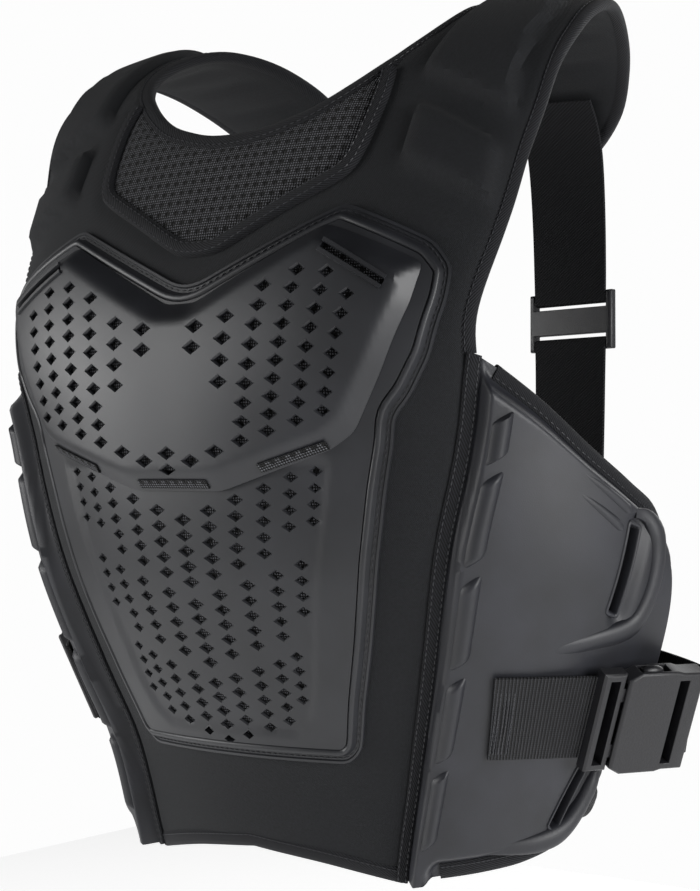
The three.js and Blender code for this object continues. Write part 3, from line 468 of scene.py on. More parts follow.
def panel_top(x, y):
    """Height of the panel's face: pinched at its sewn edges, raised in the shoulder pads."""
    x = np.abs(x)
    edge = np.minimum(away(x, y, armhole), away(x, y, neck))
    height = -EDGE_PINCH * (1 - ease(edge, 10)) - SEAM_PINCH * (1 - ease(away(x, y, seam), 9))
    height -= SEAM_PINCH * (1 - ease(away(x, y, hem), 8)) + BIB_PINCH * (1 - ease(away(x, y, bib_edge), 9))
    for pad in PADS:
        height += PAD_RISE * ease(away(x, y, pad, True), 7) * inside(x, y, pad)
    return height + 0.35 * np.sin(x / 23 + 1.1) * np.sin(y / 31 + 0.4) * ease(edge, 30)


def panel_bottom(x, y):
    """Height of the panel's inner face, drawn up to the outer one at its bound edges."""
    edge = np.minimum(away(np.abs(x), y, armhole), away(np.abs(x), y, neck))
    return -PANEL_THICK + EDGE_PINCH * (1 - ease(edge, 10))


# Scuba knit: a dull polyester face with fine heather, bonded to foam. Its ribs are 0.5 mm apart in the real
# cloth and are drawn at 1.1 mm so that they show.
scuba_knit, tree = new_material("scuba_knit")
uv = add_node(tree, "ShaderNodeUVMap", {"uv_map": "pattern"})
flat_place = add_node(tree, "ShaderNodeSeparateXYZ", links={"Vector": uv.outputs["UV"]})
ribs = ripple(tree, flat_place, "X", 1.1)
courses = ripple(tree, flat_place, "Y", 1.3)
loops = add_node(tree, "ShaderNodeMath", {"operation": "MULTIPLY"},
                 {0: ribs.outputs[0], 1: courses.outputs[0]})
heather = add_node(tree, "ShaderNodeTexNoise", {"Scale": 0.55, "Detail": 4.0, "Roughness": 0.7},
                   {"Vector": uv.outputs["UV"]})
cloth_tone = add_node(tree, "ShaderNodeValToRGB", links={"Fac": heather.outputs["Fac"]})
cloth_tone.color_ramp.elements[0].position = 0.3
cloth_tone.color_ramp.elements[0].color = linear("#0c0d0f")
cloth_tone.color_ramp.elements[1].position = 0.75
cloth_tone.color_ramp.elements[1].color = linear("#1a1c20")
cloth_relief = add_node(tree, "ShaderNodeMath", {"operation": "ADD"},
                        {0: loops.outputs[0], 1: heather.outputs["Fac"]})
cloth_bump = add_node(tree, "ShaderNodeBump", {"Strength": 0.5, "Distance": 0.0002},
                      {"Height": cloth_relief.outputs[0]})
shade = add_node(tree, "ShaderNodeBsdfPrincipled", {
    "Roughness": 0.75, "IOR": 1.5, "Sheen Weight": 0.05, "Sheen Roughness": 0.5,
    "Specular IOR Level": 0.27}, {
        "Base Color": cloth_tone.outputs["Color"], "Normal": cloth_bump.outputs["Normal"]})
add_node(tree, "ShaderNodeOutputMaterial", links={"Surface": shade.outputs["BSDF"]})

front_panel = make_piece("front_panel_knit", wear(thicken(
    cut_pattern(panel_outline, 5), panel_top, panel_bottom)), scuba_knit, "panel", "front_panel")

# The panel is held along its edges, its seams and the bib, and everywhere under the chest plate
PANEL_BULGE = 2.5
plate_line = np.array([across(*p) for p in [
    (0.000, 0.585), (0.452, 0.652), (0.742, 0.594), (0.598, 0.440), (0.470, 0.262), (0.335, 0.141),
    (0.000, 0.141)]])
flat = flat_places(front_panel)
flat_x = np.abs(flat[:, 0])
to_edges = np.min([away(flat_x, flat[:, 1], line) for line in (
    hem, seam, armhole, neck, bib_edge, plate_line)], axis=0)
held = 1 - ease(to_edges - HELD_MARGIN, FILL_EASE)
settle(front_panel, np.where(inside(flat_x, flat[:, 1], plate_line), 1, held), PANEL_BULGE)

# Bib: a pad of open spacer mesh let into the panel under the neckline, two knitted faces held apart by
# stiff yarns, with larger holes in rows. A welt of folded tape is sewn round its lower edge.
bib_half = np.concatenate([bib_edge[::-1][1:], bib_neck[1:-1]])
bib_outline = np.concatenate([bib_edge[-1:], bib_half, bib_neck[-1:], flipped(bib_half)])


BIB_EDGE_HEIGHT = -2.2
BIB_CROWN = 2.4
BIB_FOOT = -7.8


def bib_top(x, y):
    """Height of the bib's face, which crowns away from its sewn edge."""
    return BIB_EDGE_HEIGHT + BIB_CROWN * ease(away(x, y, bib_outline, True), 16)


# Spacer mesh: polyester yarn in a diagonal net of 2.2 mm, with groups of open holes every 9 mm, which are
# painted near-black as the shade inside them
spacer_mesh, tree = new_material("spacer_mesh")
uv = add_node(tree, "ShaderNodeUVMap", {"uv_map": "pattern"})
turned = add_node(tree, "ShaderNodeMapping", {"Rotation": (0, 0, math.radians(45))},
                  {"Vector": uv.outputs["UV"]})
turned_place = add_node(tree, "ShaderNodeSeparateXYZ", links={"Vector": turned.outputs["Vector"]})
waves = [ripple(tree, turned_place, axis, pitch) for axis, pitch in (
    ("X", 2.2), ("Y", 2.2), ("X", 8.8), ("Y", 8.8))]
yarn = add_node(tree, "ShaderNodeMath", {"operation": "MULTIPLY"},
                {0: waves[0].outputs[0], 1: waves[1].outputs[0]})
clusters = add_node(tree, "ShaderNodeMath", {"operation": "MULTIPLY"},
                    {0: waves[2].outputs[0], 1: waves[3].outputs[0]})
openness = add_node(tree, "ShaderNodeMapRange",
                    {"From Min": 0.25, "From Max": 0.7, "To Min": 0.0, "To Max": 1.3},
                    {"Value": clusters.outputs[0]})
pores = add_node(tree, "ShaderNodeMath", {"operation": "SUBTRACT"},
                 {0: yarn.outputs[0], 1: openness.outputs[0]})
# Painted shade: the tone drops to near-black where the net is open or sunk, following the same relief as its
# bump
net_tone_and_painted_hole_shade = add_node(tree, "ShaderNodeValToRGB", links={"Fac": pores.outputs[0]})
net_tone_and_painted_hole_shade.color_ramp.elements[0].position = 0.0
net_tone_and_painted_hole_shade.color_ramp.elements[0].color = linear("#020203")
net_tone_and_painted_hole_shade.color_ramp.elements[1].position = 0.6
net_tone_and_painted_hole_shade.color_ramp.elements[1].color = linear("#6a6b70")
net_bump = add_node(tree, "ShaderNodeBump", {"Strength": 0.9, "Distance": 0.0007},
                    {"Height": pores.outputs[0]})
shade = add_node(tree, "ShaderNodeBsdfPrincipled",
                 {"Roughness": 0.65, "Sheen Weight": 0.03, "Specular IOR Level": 0.25},
                 {"Base Color": net_tone_and_painted_hole_shade.outputs["Color"], "Normal": net_bump.outputs["Normal"]})
add_node(tree, "ShaderNodeOutputMaterial", links={"Surface": shade.outputs["BSDF"]})

bib = make_piece("bib_spacer_mesh", wear(thicken(
    cut_pattern(bib_outline, 4), bib_top, level(BIB_FOOT))), spacer_mesh, "mesh", "bib")

# Woven binding tape: dull polyester twill, its ribs drawn 1.2 mm apart
binding_twill, tree = new_material("binding_twill")
uv = add_node(tree, "ShaderNodeUVMap", {"uv_map": "pattern"})
turned = add_node(tree, "ShaderNodeMapping", {"Rotation": (0, 0, math.radians(60))},
                  {"Vector": uv.outputs["UV"]})
turned_place = add_node(tree, "ShaderNodeSeparateXYZ", links={"Vector": turned.outputs["Vector"]})
ribs = ripple(tree, turned_place, "X", 1.2)
fuzz = add_node(tree, "ShaderNodeTexNoise", {"Scale": 0.8, "Detail": 3.0}, {"Vector": uv.outputs["UV"]})
tape_relief = add_node(tree, "ShaderNodeMath", {"operation": "ADD"},
                       {0: ribs.outputs[0], 1: fuzz.outputs["Fac"]})
tape_tone = add_node(tree, "ShaderNodeValToRGB", links={"Fac": tape_relief.outputs[0]})
tape_tone.color_ramp.elements[0].position = 0.0
tape_tone.color_ramp.elements[0].color = linear("#0b0b0d")
tape_tone.color_ramp.elements[1].position = 1.0
tape_tone.color_ramp.elements[1].color = linear("#212226")
tape_bump = add_node(tree, "ShaderNodeBump", {"Strength": 0.5, "Distance": 0.00025},
                     {"Height": tape_relief.outputs[0]})
shade = add_node(tree, "ShaderNodeBsdfPrincipled",
                 {"Roughness": 0.8, "Sheen Weight": 0.04, "Specular IOR Level": 0.25},
                 {"Base Color": tape_tone.outputs["Color"], "Normal": tape_bump.outputs["Normal"]})
add_node(tree, "ShaderNodeOutputMaterial", links={"Surface": shade.outputs["BSDF"]})

# Bonded polyester thread, twisted and slightly glossy
sewing_thread, tree = new_material("bonded_thread")
place = add_node(tree, "ShaderNodeTexCoord")
ply = add_node(tree, "ShaderNodeTexNoise", {"Scale": 1800.0, "Detail": 2.0},
               {"Vector": place.outputs["Object"]})
thread_tone = add_node(tree, "ShaderNodeValToRGB", links={"Fac": ply.outputs["Fac"]})
thread_tone.color_ramp.elements[0].color = linear("#050506")
thread_tone.color_ramp.elements[1].color = linear("#3c3d42")
shade = add_node(tree, "ShaderNodeBsdfPrincipled", {"Roughness": 0.45},
                 {"Base Color": thread_tone.outputs["Color"]})
add_node(tree, "ShaderNodeOutputMaterial", links={"Surface": shade.outputs["BSDF"]})


def loft(rings, closed=False):
    """A closed bar through rings of places, with UV in millimetres along it and round it."""
    rings = np.asarray(rings)
    around = np.concatenate([rings, rings[:, :1]], axis=1)
    if closed:
        around = np.concatenate([around, around[:1]])
    length, width = around.shape[0] - 1, around.shape[1] - 1
    along_run = np.concatenate([[0], np.cumsum(np.linalg.norm(np.diff(around.mean(axis=1), axis=0),
        axis=1))]) / MM
    round_run = np.concatenate([[0], np.cumsum(np.linalg.norm(np.diff(around[0], axis=0), axis=1))]) / MM
    solid = bmesh.new()
    bmesh.ops.create_grid(solid, x_segments=length, y_segments=width, size=1)
    pattern = solid.loops.layers.uv.new("pattern")
    solid.verts.ensure_lookup_table()
    for face in solid.faces:
        for corner in face.loops:
            row, column = divmod(corner.vert.index, length + 1)
            corner[pattern].uv = (along_run[column], round_run[row])
    for vert in solid.verts:
        row, column = divmod(vert.index, length + 1)
        vert.co = around[column, row]
    bmesh.ops.remove_doubles(solid, verts=solid.verts, dist=1e-6)
    if not closed:
        bmesh.ops.holes_fill(solid, edges=[edge for edge in solid.edges if edge.is_boundary])
    return solid


def run_tape(line, profile, closed=False):
    """A tape sewn along a line of the flat pattern, from its profile of distance to the left and height."""
    lines = [sideways(line, inward, closed) for inward, _ in profile]
    return loft(np.stack([
        lay(moved[:, 0], moved[:, 1], np.full(len(moved), height))
        for moved, (_, height) in zip(lines, profile)], axis=1), closed)


def folded(low, high):
    """Profile of a tape folded over an edge whose faces lie at two heights."""
    half = [(7.6, 0.0), (7.2, 0.7), (4.0, 1.2), (1.0, 1.0), (-1.2, 0.1), (-2.0, -1.2)]
    return ([(inward, high + rise) for inward, rise in half]
            + [(inward, low - rise) for inward, rise in reversed(half)])


def sew(line, inward, height, pitch=4.2, length=3.0, thick=0.7):
    """A row of stitches along a line of the flat pattern."""
    row = evenly(sideways(line, inward), pitch)
    middle = (row[1:] + row[:-1]) / 2
    start = lay(row[:-1, 0], row[:-1, 1], np.full(len(middle), height))
    end = lay(row[1:, 0], row[1:, 1], np.full(len(middle), height))
    outward = skin_axes(middle[:, 0] / ANGLE_RUN, middle[:, 1] / FRONT_RUN)[2]
    stitches = bmesh.new()
    for a, b, normal in zip(start, end, outward):
        run, normal = Vector(b - a).normalized(), Vector(normal)
        side = normal.cross(run).normalized()
        turn = Matrix((run, side, run.cross(side))).transposed().to_4x4()
        size = Matrix.Diagonal((length / 2 * MM, thick / 2 * MM, thick / 2 * MM, 1))
        bmesh.ops.create_uvsphere(stitches, u_segments=6, v_segments=4, radius=1,
                                  matrix=Matrix.Translation((a + b) / 2) @ turn @ size @ Matrix.Rotation(
                                      math.pi / 2, 4, "Y"))
    return stitches


def join(*solids):
    """Several meshes as one."""
    whole = bmesh.new()
    for solid in solids:
        data = bpy.data.meshes.new("part")
        solid.to_mesh(data)
        whole.from_mesh(data)
        bpy.data.meshes.remove(data)
    return whole


def both_sides(solid):
    """A mesh with its mirror image on the wearer's right."""
    twin = solid.copy()
    bmesh.ops.scale(twin, vec=(-1, 1, 1), verts=twin.verts)
    bmesh.ops.reverse_faces(twin, faces=twin.faces)
    return join(solid, twin)


welt = bib_edge[bib_edge[:, 1] < BIB[1][1]]
whole_welt = np.concatenate([welt[:-1], flipped(welt)])
make_piece("bib_welt", run_tape(whole_welt, [
    (0.4, -1.6), (0.2, 0.6), (-1.0, 2.0), (-3.5, 2.4), (-6.2, 2.2), (-8.0, 1.0), (-8.6, 0.0), (-8.4, -1.6)]),
    binding_twill, "binding", "bib_trim")
make_piece("welt_stitches", join(sew(whole_welt, -6.6, 2.3), sew(whole_welt, -1.6, 2.1)), sewing_thread,
           "binding")

# Edge bindings: 20 mm tape folded over the panel's free edges and sewn through, with a row of lockstitch
# near its inner edge.
panel_fold = folded(-6.0, -1.4)
make_piece("armhole_tape_left", run_tape(armhole, panel_fold), binding_twill, "binding", "arm_binding_left")
make_piece("armhole_tape_right", run_tape(armhole, panel_fold), binding_twill, "binding", "arm_binding_right",
           mirror=True)
whole_neck = np.concatenate([neck[:-1], flipped(neck)])
make_piece("neck_tape", run_tape(whole_neck, panel_fold), binding_twill, "binding", "neck_binding")
whole_hem = np.concatenate([flipped(hem)[:-1], hem])
make_piece("hem_tape", run_tape(whole_hem, folded(-7.8, -0.9)), binding_twill, "binding", "hem_binding")
make_piece("edge_stitches", join(
    both_sides(sew(armhole, 5.4, 0.0)), sew(whole_neck, 5.4, 0.0), sew(whole_hem, 5.4, 0.4)),
    sewing_thread, "binding")

# Chest plate: injection-moulded TPU in two levels, pierced with rows of diamond vents over mesh, inside a
# rim with a raised lip and a groove where it is sewn to the panel.
PLATE = [across(*p) for p in [
    (0.000, 0.585), (0.040, 0.587), (0.452, 0.652), (0.695, 0.616), (0.742, 0.594), (0.736, 0.566),
    (0.700, 0.516), (0.650, 0.482), (0.608, 0.464), (0.598, 0.440), (0.568, 0.398), (0.528, 0.338),
    (0.470, 0.262), (0.415, 0.203), (0.375, 0.155), (0.335, 0.141), (0.000, 0.141)]]
UPPER_PLATE = [across(*p) for p in [
    (0.050, 0.566), (0.425, 0.629), (0.680, 0.594), (0.659, 0.560), (0.594, 0.505), (0.515, 0.452),
    (0.455, 0.437), (0.262, 0.414), (0.145, 0.401)]]
FIELD = [across(*p) for p in [
    (0.450, 0.430), (0.425, 0.385), (0.375, 0.320), (0.300, 0.215), (0.265, 0.185), (0.215, 0.170)]]
RIM_WIDTH = 10.5
PLATE_TOP = 5.0
FIELD_DROP = 1.6
PLATE_FOOT = 1.8
UPPER_TOP = 13
UPPER_EDGE = 5.8
UPPER_SLOPE = 0.72
UPPER_FOOT = 5.2
UPPER_WALL = 2.6
MESH_SETBACK = 10.7


def whole_outline(half, step):
    """Both halves of an outline from one, its corners kept and its sides in steps."""
    half = np.array(half)
    loop = np.concatenate([half, flipped(half)])
    sides = [evenly(np.array([a, b]), step)[:-1] for a, b in zip(loop, np.roll(loop, -1, axis=0))
             if np.linalg.norm(a - b) > 0.5]
    return np.concatenate(sides)[::-1]


def soften(line, times):
    """A closed line with its corners rounded, more so the more times it is averaged."""
    for _ in range(times):
        line = (np.roll(line, 1, axis=0) + 2 * line + np.roll(line, -1, axis=0)) / 4
    return line


plate_outline = soften(whole_outline(PLATE, 4), 2)
plate_inner = sideways(plate_outline, RIM_WIDTH, True)
plate_inner = plate_inner[away(plate_inner[:, 0], plate_inner[:, 1], plate_outline, True) > RIM_WIDTH * 0.97]

# TPU with a fine spark-eroded grain of about 0.3 mm, drawn at 0.6 mm, which gives a soft satin highlight
moulded_tpu, tree = new_material("moulded_tpu")
place = add_node(tree, "ShaderNodeTexCoord")
grain = add_node(tree, "ShaderNodeTexNoise", {"Scale": 1700.0, "Detail": 2.0},
                 {"Vector": place.outputs["Object"]})
cloud = add_node(tree, "ShaderNodeTexNoise", {"Scale": 22.0, "Detail": 3.0},
                 {"Vector": place.outputs["Object"]})
plastic_tone = add_node(tree, "ShaderNodeValToRGB", links={"Fac": cloud.outputs["Fac"]})
plastic_tone.color_ramp.elements[0].position = 0.3
plastic_tone.color_ramp.elements[0].color = linear("#1d1e21")
plastic_tone.color_ramp.elements[1].position = 0.7
plastic_tone.color_ramp.elements[1].color = linear("#27282c")
gloss = add_node(tree, "ShaderNodeMapRange", {"To Min": 0.36, "To Max": 0.5}, {"Value": cloud.outputs["Fac"]})
grain_bump = add_node(tree, "ShaderNodeBump", {"Strength": 0.25, "Distance": 0.00008},
                      {"Height": grain.outputs["Fac"]})
shade = add_node(tree, "ShaderNodeBsdfPrincipled", {"IOR": 1.5}, {
    "Base Color": plastic_tone.outputs["Color"], "Roughness": gloss.outputs["Result"],
    "Normal": grain_bump.outputs["Normal"]})
add_node(tree, "ShaderNodeOutputMaterial", links={"Surface": shade.outputs["BSDF"]})

make_piece("plate_rim_lip", run_tape(plate_outline, [
    (0.0, 0.0), (0.0, 1.9), (0.5, 2.6), (1.9, 2.6), (2.4, 1.7), (4.6, 1.7), (5.1, 2.7), (5.8, 3.2),
    (6.6, 5.2), (7.4, 5.7), (9.0, 5.7), (10.0, 4.9), (10.5, 3.0), (10.5, 0.0)], True),
    moulded_tpu, "plate", "plate_rim")
make_piece("plate_stitches", sew(np.concatenate([plate_outline, plate_outline[:1]]), 3.5, 2.0, 4.4, 3.2, 0.8),
           sewing_thread, "plate")


def diamonds(rows, low, high, foot, head):
    """Upright prisms for diamond vents at places of the flat pattern, on both sides of the middle, between
    two heights, with shares of the vent's size at their foot and head."""
    cutters = bmesh.new()
    for x, y, wide, tall in rows:
        for side in ((1, -1) if x else (1,)):
            bmesh.ops.create_cone(cutters, cap_ends=True, segments=4, radius1=foot, radius2=head,
                                  depth=high - low, matrix=(
                                      Matrix.Translation((side * x, y, (low + high) / 2))
                                      @ Matrix.Diagonal((wide / 2, tall / 2, 1, 1))))
    return cutters


def charted(rows, run):
    """Vents moved from the chart of the chest to the flat pattern."""
    return [(across(x / CHART_HALF_WIDTH, y / run)[0], y / run * FRONT_RUN, wide, tall)
            for x, y, wide, tall in rows]


def vented(sheet, rows, top):
    """A flat solid pierced by diamond vents whose upper edges are chamfered."""
    through = diamonds(rows, -20, 30, 1, 1)
    return pierce(pierce(sheet, through), diamonds(rows, top - 1.0, top + 0.3, 0.98, 1.44))


def pierce(sheet, cutters):
    """A flat solid with other solids cut from it."""
    objects = []
    for name, solid in (("sheet", sheet), ("cutters", cutters)):
        data = bpy.data.meshes.new(name)
        solid.to_mesh(data)
        objects.append(bpy.data.objects.new(name, data))
        bpy.context.scene.collection.objects.link(objects[-1])
    cut = objects[0].modifiers.new("cut", "BOOLEAN")
    cut.operation = "DIFFERENCE"
    cut.solver = "EXACT"
    cut.object = objects[1]
    graph = bpy.context.evaluated_depsgraph_get()
    result = bmesh.new()
    result.from_mesh(bpy.data.meshes.new_from_object(objects[0].evaluated_get(graph)))
    for item in objects:
        bpy.data.objects.remove(item)
    return result


field_outline = whole_outline(FIELD, 6)


def lower_top(x, y):
    """Height of the lower plate, sunk in its field of vents."""
    into = away(x, y, field_outline, True) * np.where(inside(x, y, field_outline), 1, -1)
    return PLATE_TOP - FIELD_DROP * ease(into + 1, 4)


# Rows of vents, drawn on a chart of the chest. Each group of lower columns has its height, then the places of
# its columns from the middle with what they rise by. Each upper column runs between two places with a number
# of vents.
CHART_HALF_WIDTH = 206
LOWER_CHART_RUN = 600
UPPER_CHART_RUN = 595
VENT_PITCH = 8.6
LOWER_VENTS = [(225, [(0, 0), (18, 5), (36, 11), (54, 17), (70, 23), (84, 26)]),
               (178, [(0, 0), (18, 6), (37, 12), (55, 18), (70, 24)]),
               (131, [(0, 0), (15, 4), (31, 9), (45, 14), (56, 19)])]
UPPER_VENTS = [((18.5, 323), (17.5, 312.5), 2), ((39, 327), (36, 295), 4), ((60.5, 341.5), (48, 265.5), 9),
               ((79.5, 348.5), (64, 270.5), 10), ((96, 347), (80, 276), 9), ((108, 336), (94, 281), 7)]
LAST_VENTS = [(0, 259), (0, 250.2), (16, 255), (32, 260)]
vent_rows = []
for top, columns in LOWER_VENTS:
    for order, (x, rise) in enumerate(columns):
        for step in range(5 if order < 4 else 4):
            y = top + rise - step * VENT_PITCH
            vent_rows.append((x * (1 - step * 0.018), y, 9.2 - order * 0.6, 5.5 - order * 0.27))
lower_sheet = thicken(cut_pattern(plate_inner, 3), lower_top, level(PLATE_FOOT))
lower_sheet = vented(lower_sheet, charted(vent_rows, LOWER_CHART_RUN), PLATE_TOP - FIELD_DROP)
make_piece("lower_plate_shell", wear(lower_sheet), moulded_tpu, "plate", "lower_plate", sharp=28)

upper_outline = soften(whole_outline(UPPER_PLATE, 3), 2)


def upper_top(x, y):
    """Height of the upper plate, a plateau with a slope all round."""
    return np.minimum(UPPER_TOP, UPPER_EDGE + away(x, y, upper_outline, True) * UPPER_SLOPE)


vent_rows = [(x, y, 9.4, 5.6) for x, y in LAST_VENTS]
for order, ((x_top, top), (x_foot, foot), count) in enumerate(UPPER_VENTS):
    for step in range(count):
        share = step / (count - 1)
        vent_rows.append((x_top + (x_foot - x_top) * share, top + (foot - top) * share,
                          9.5 - order * 0.45, 5.8 - order * 0.18))
upper_sheet = thicken(cut_pattern(upper_outline, 3, (10,)), upper_top,
                      lambda x, y: np.maximum(upper_top(x, y) - UPPER_WALL, UPPER_FOOT))
corner_ends = [Vector(across(0.441, 0.6055)), Vector(across(0.606, 0.5735))]
corner_run = corner_ends[1] - corner_ends[0]
corner_slots = bmesh.new()
for side in (1, -1):
    middle = (corner_ends[0] + corner_ends[1]) / 2
    bmesh.ops.create_cube(corner_slots, size=1, matrix=(
        Matrix.Translation((side * middle.x, middle.y, UPPER_TOP)) @ Matrix.Rotation(
            side * math.atan2(corner_run.y, corner_run.x), 4, "Z")
        @ Matrix.Diagonal((corner_run.length, 3.4, 6, 1))))
upper_sheet = vented(pierce(upper_sheet, corner_slots), charted(vent_rows, UPPER_CHART_RUN), UPPER_TOP)
make_piece("upper_plate_shell", wear(upper_sheet), moulded_tpu, "plate", "upper_plate", sharp=28)

# A moulded bar along either side of each corner slot, and knitted mesh bonded in the gaps of the upper skirt
corner_line = evenly(np.array(corner_ends), 4)
corner_bars = [run_tape(sideways(corner_line, shift), [
    (-1.3, UPPER_TOP - 0.4), (-0.9, UPPER_TOP + 1.5), (0.9, UPPER_TOP + 1.5), (1.3, UPPER_TOP - 0.4)])
    for shift in (-2.6, 2.6)]
make_piece("corner_bars", both_sides(join(*corner_bars)), moulded_tpu, "plate")
skirt_meshes = [run_tape(evenly(np.array([across(*a), across(*b)]), 4), [
    (-2.4, 6.4), (-2.3, 8.2), (2.3, 11.2), (2.4, 9.4)]) for a, b in (
        ((-0.115, 0.4075), (0.115, 0.4075)), ((0.272, 0.4215), (0.452, 0.4415)),
        ((-0.452, 0.4415), (-0.272, 0.4215)))]
make_piece("skirt_mesh", join(*skirt_meshes), spacer_mesh, "mesh")

# Mesh bonded behind the vents of both plates
upper_inner = upper_outline[np.hypot(*(upper_outline - np.roll(upper_outline, 1, axis=0)).T) > 0.5]
upper_inner = sideways(upper_inner, 11, True)
upper_inner = upper_inner[away(upper_inner[:, 0], upper_inner[:, 1], upper_outline, True) > MESH_SETBACK]
make_piece("upper_vent_mesh", wear(thicken(cut_pattern(upper_inner, 8), level(10.1),
                                           level(9.2))), spacer_mesh, "mesh")
make_piece("vent_mesh", wear(thicken(cut_pattern(plate_inner, 8), level(1.5),
                                     level(0.4))), spacer_mesh, "mesh")

# Side wings: closed-cell foam faced with coated fabric and pressed in a hot mould, which leaves raised ribs
# beside the seam, a bead round each strap slot and a thin flange that is sewn to the panel.
WING = [round_body(*p) for p in [
    (44, 0.034), (55, 0.040), (66, 0.048), (76, 0.063), (81, 0.090), (84, 0.125), (90, 0.180), (94, 0.223),
    (94, 0.270), (92.5, 0.315), (90, 0.352), (85.5, 0.384), (79, 0.405), (70, 0.438), (61, 0.482),
    (55, 0.508)]]
WING_ROWS = 110
WING_RISE = 11
WING_FOOT = -5.0
SLOT_HOLLOW = 4
SLOT_WIDTH = 7.0
SLOT_RIM_OFF = 4.6
wing_free = smooth_edge(WING, 4)
wing_seam = sideways(seam, -0.3)
RIB_ENDS = [(0.060, 0.138), (0.148, 0.232), (0.242, 0.325), (0.335, 0.412), (0.422, 0.464)]
RIB_PROFILE = [(10.0, 7), (11.0, 10.4), (12.4, 12.2), (14.6, 13.9), (16.8, 14.5), (18.8, 14.3), (20.6, 13.0),
               (22.4, 10.9), (23.4, 7)]
RIB_SLANT = 0.001
RIB_END_HEIGHT = 9
SLOTS = [((76.2, 0.370), (72.4, 0.297)), ((74.1, 0.141), (69.0, 0.084))]

# Beads of the wing: points of the line, width, rise, height of the foot, and the shares of the run over which
# the two ends fade out
BEADS = [
    ([(77.0, 0.381), (80.0, 0.377), (82.2, 0.359), (82.3, 0.330), (80.6, 0.300), (77.5, 0.281), (70, 0.271),
      (61, 0.262), (52, 0.254)], 13, 4.4, 9.8, 0.14, 0.6),
    ([(80.2, 0.160), (79.0, 0.130), (76.2, 0.100), (72.4, 0.080), (67, 0.071), (59, 0.066), (51, 0.064)],
     13, 4.4, 9.8, 0.2, 0.5),
    ([(60.5, 0.437), (68, 0.411), (76.2, 0.380)], 6, 2.4, 10.0, 0.9, 0.1),
    ([(60.0, 0.420), (67, 0.394), (74.4, 0.366)], 6, 2.4, 10.0, 0.9, 0.1)]


def seam_point(up):
    """The point of the seam at a height up the front."""
    y = up * FRONT_RUN
    return np.array([np.interp(y, seam[:, 1], seam[:, 0]), y])


def spanned(left, right, rows, cell):
    """A flat sheet in rows that run from one line to another, in cells of about this width."""
    share = np.linspace(0, 1, rows)
    spans = []
    for line in (left, right):
        run = np.concatenate([[0], np.cumsum(np.linalg.norm(np.diff(line, axis=0), axis=1))])
        spans.append(np.stack([np.interp(share * run[-1], run, line[:, axis]) for axis in (0, 1)], axis=-1))
    widest = np.linalg.norm(spans[1] - spans[0], axis=1).max()
    steps = np.linspace(0, 1, math.ceil(widest / cell))
    sheet = bmesh.new()
    lines = [[sheet.verts.new((*(a + (b - a) * step), 0)) for step in steps] for a, b in zip(*spans)]
    for row, onward in zip(lines, lines[1:]):
        for corners in zip(row, row[1:], onward[1:], onward):
            sheet.faces.new(corners)
    bmesh.ops.remove_doubles(sheet, verts=sheet.verts, dist=0.2)
    return sheet


def rib(low, high):
    """A long pressed rib beside the seam, whose ends slant."""
    share = np.linspace(0, 1, 25)
    rows = []
    for off, height in RIB_PROFILE:
        up = low + (high - low) * share + (off - RIB_PROFILE[1][0]) * RIB_SLANT
        spots = np.array([seam_point(at) for at in up])
        sunk = np.maximum(height - RIB_END_HEIGHT, 0)
        rise = height - sunk * (1 - ease(np.minimum(share, 1 - share), 0.07))
        rows.append(lay(spots[:, 0] + off, spots[:, 1], rise))
    return loft(np.stack(rows, axis=1))


def wing_top(x, y):
    """Height of a wing's face: a flange, then a flat field, hollowed beside each slot."""
    height = WING_RISE * ease(away(x, y, wing_free) - 6.5, 8) * ease(away(x, y, seam) - 4, 6)
    for (from_angle, from_up), (to_angle, to_up) in SLOTS:
        slot = np.array([round_body(from_angle, from_up), round_body(to_angle, to_up)])
        height -= SLOT_HOLLOW * (1 - ease(away(x, y, slot + [6, 0]) - 2, 9)) * ease(height, WING_RISE)
    return height


def bead(line, width, rise, base, fade_in, fade_out):
    """A rounded bead along a line of the flat pattern, whose ends fade out over shares of its run."""
    run = np.linspace(0, 1, len(line))
    fade = np.maximum(ease(run, max(fade_in, 1e-3)) * ease(1 - run, max(fade_out, 1e-3)), 0.04)
    side = sideways(line, 1) - line
    rings = []
    profile = [(math.cos(turn) * width / 2, math.sin(turn) * rise) for turn in np.linspace(0, math.pi, 13)]
    for spread, lift in [(width * 0.6, -base), *profile, (-width * 0.6, -base)]:
        moved = line + side * (spread * (0.35 + 0.65 * fade))[:, None]
        rings.append(lay(moved[:, 0], moved[:, 1], base + lift * (fade if lift > 0 else 1)))
    return loft(np.stack(rings, axis=1))


# Coated foam: a polyurethane skin over foam, satin, with a faint cloth texture under it
coated_foam, tree = new_material("coated_foam")
uv = add_node(tree, "ShaderNodeUVMap", {"uv_map": "pattern"})
flat_place = add_node(tree, "ShaderNodeSeparateXYZ", links={"Vector": uv.outputs["UV"]})
skin_cloud = add_node(tree, "ShaderNodeTexNoise", {"Scale": 0.03, "Detail": 4.0},
                      {"Vector": uv.outputs["UV"]})
skin_grain = add_node(tree, "ShaderNodeTexNoise", {"Scale": 1.3, "Detail": 3.0}, {"Vector": uv.outputs["UV"]})
foam_tone = add_node(tree, "ShaderNodeValToRGB", links={"Fac": skin_cloud.outputs["Fac"]})
foam_tone.color_ramp.elements[0].position = 0.3
foam_tone.color_ramp.elements[0].color = linear("#1c1d21")
foam_tone.color_ramp.elements[1].position = 0.7
foam_tone.color_ramp.elements[1].color = linear("#26272d")
foam_gloss = add_node(tree, "ShaderNodeMapRange", {"To Min": 0.42, "To Max": 0.56},
                      {"Value": skin_grain.outputs["Fac"]})
foam_bump = add_node(tree, "ShaderNodeBump", {"Strength": 0.3, "Distance": 0.00015},
                     {"Height": skin_grain.outputs["Fac"]})
shade = add_node(tree, "ShaderNodeBsdfPrincipled", {"IOR": 1.5}, {
    "Base Color": foam_tone.outputs["Color"], "Roughness": foam_gloss.outputs["Result"],
    "Normal": foam_bump.outputs["Normal"]})
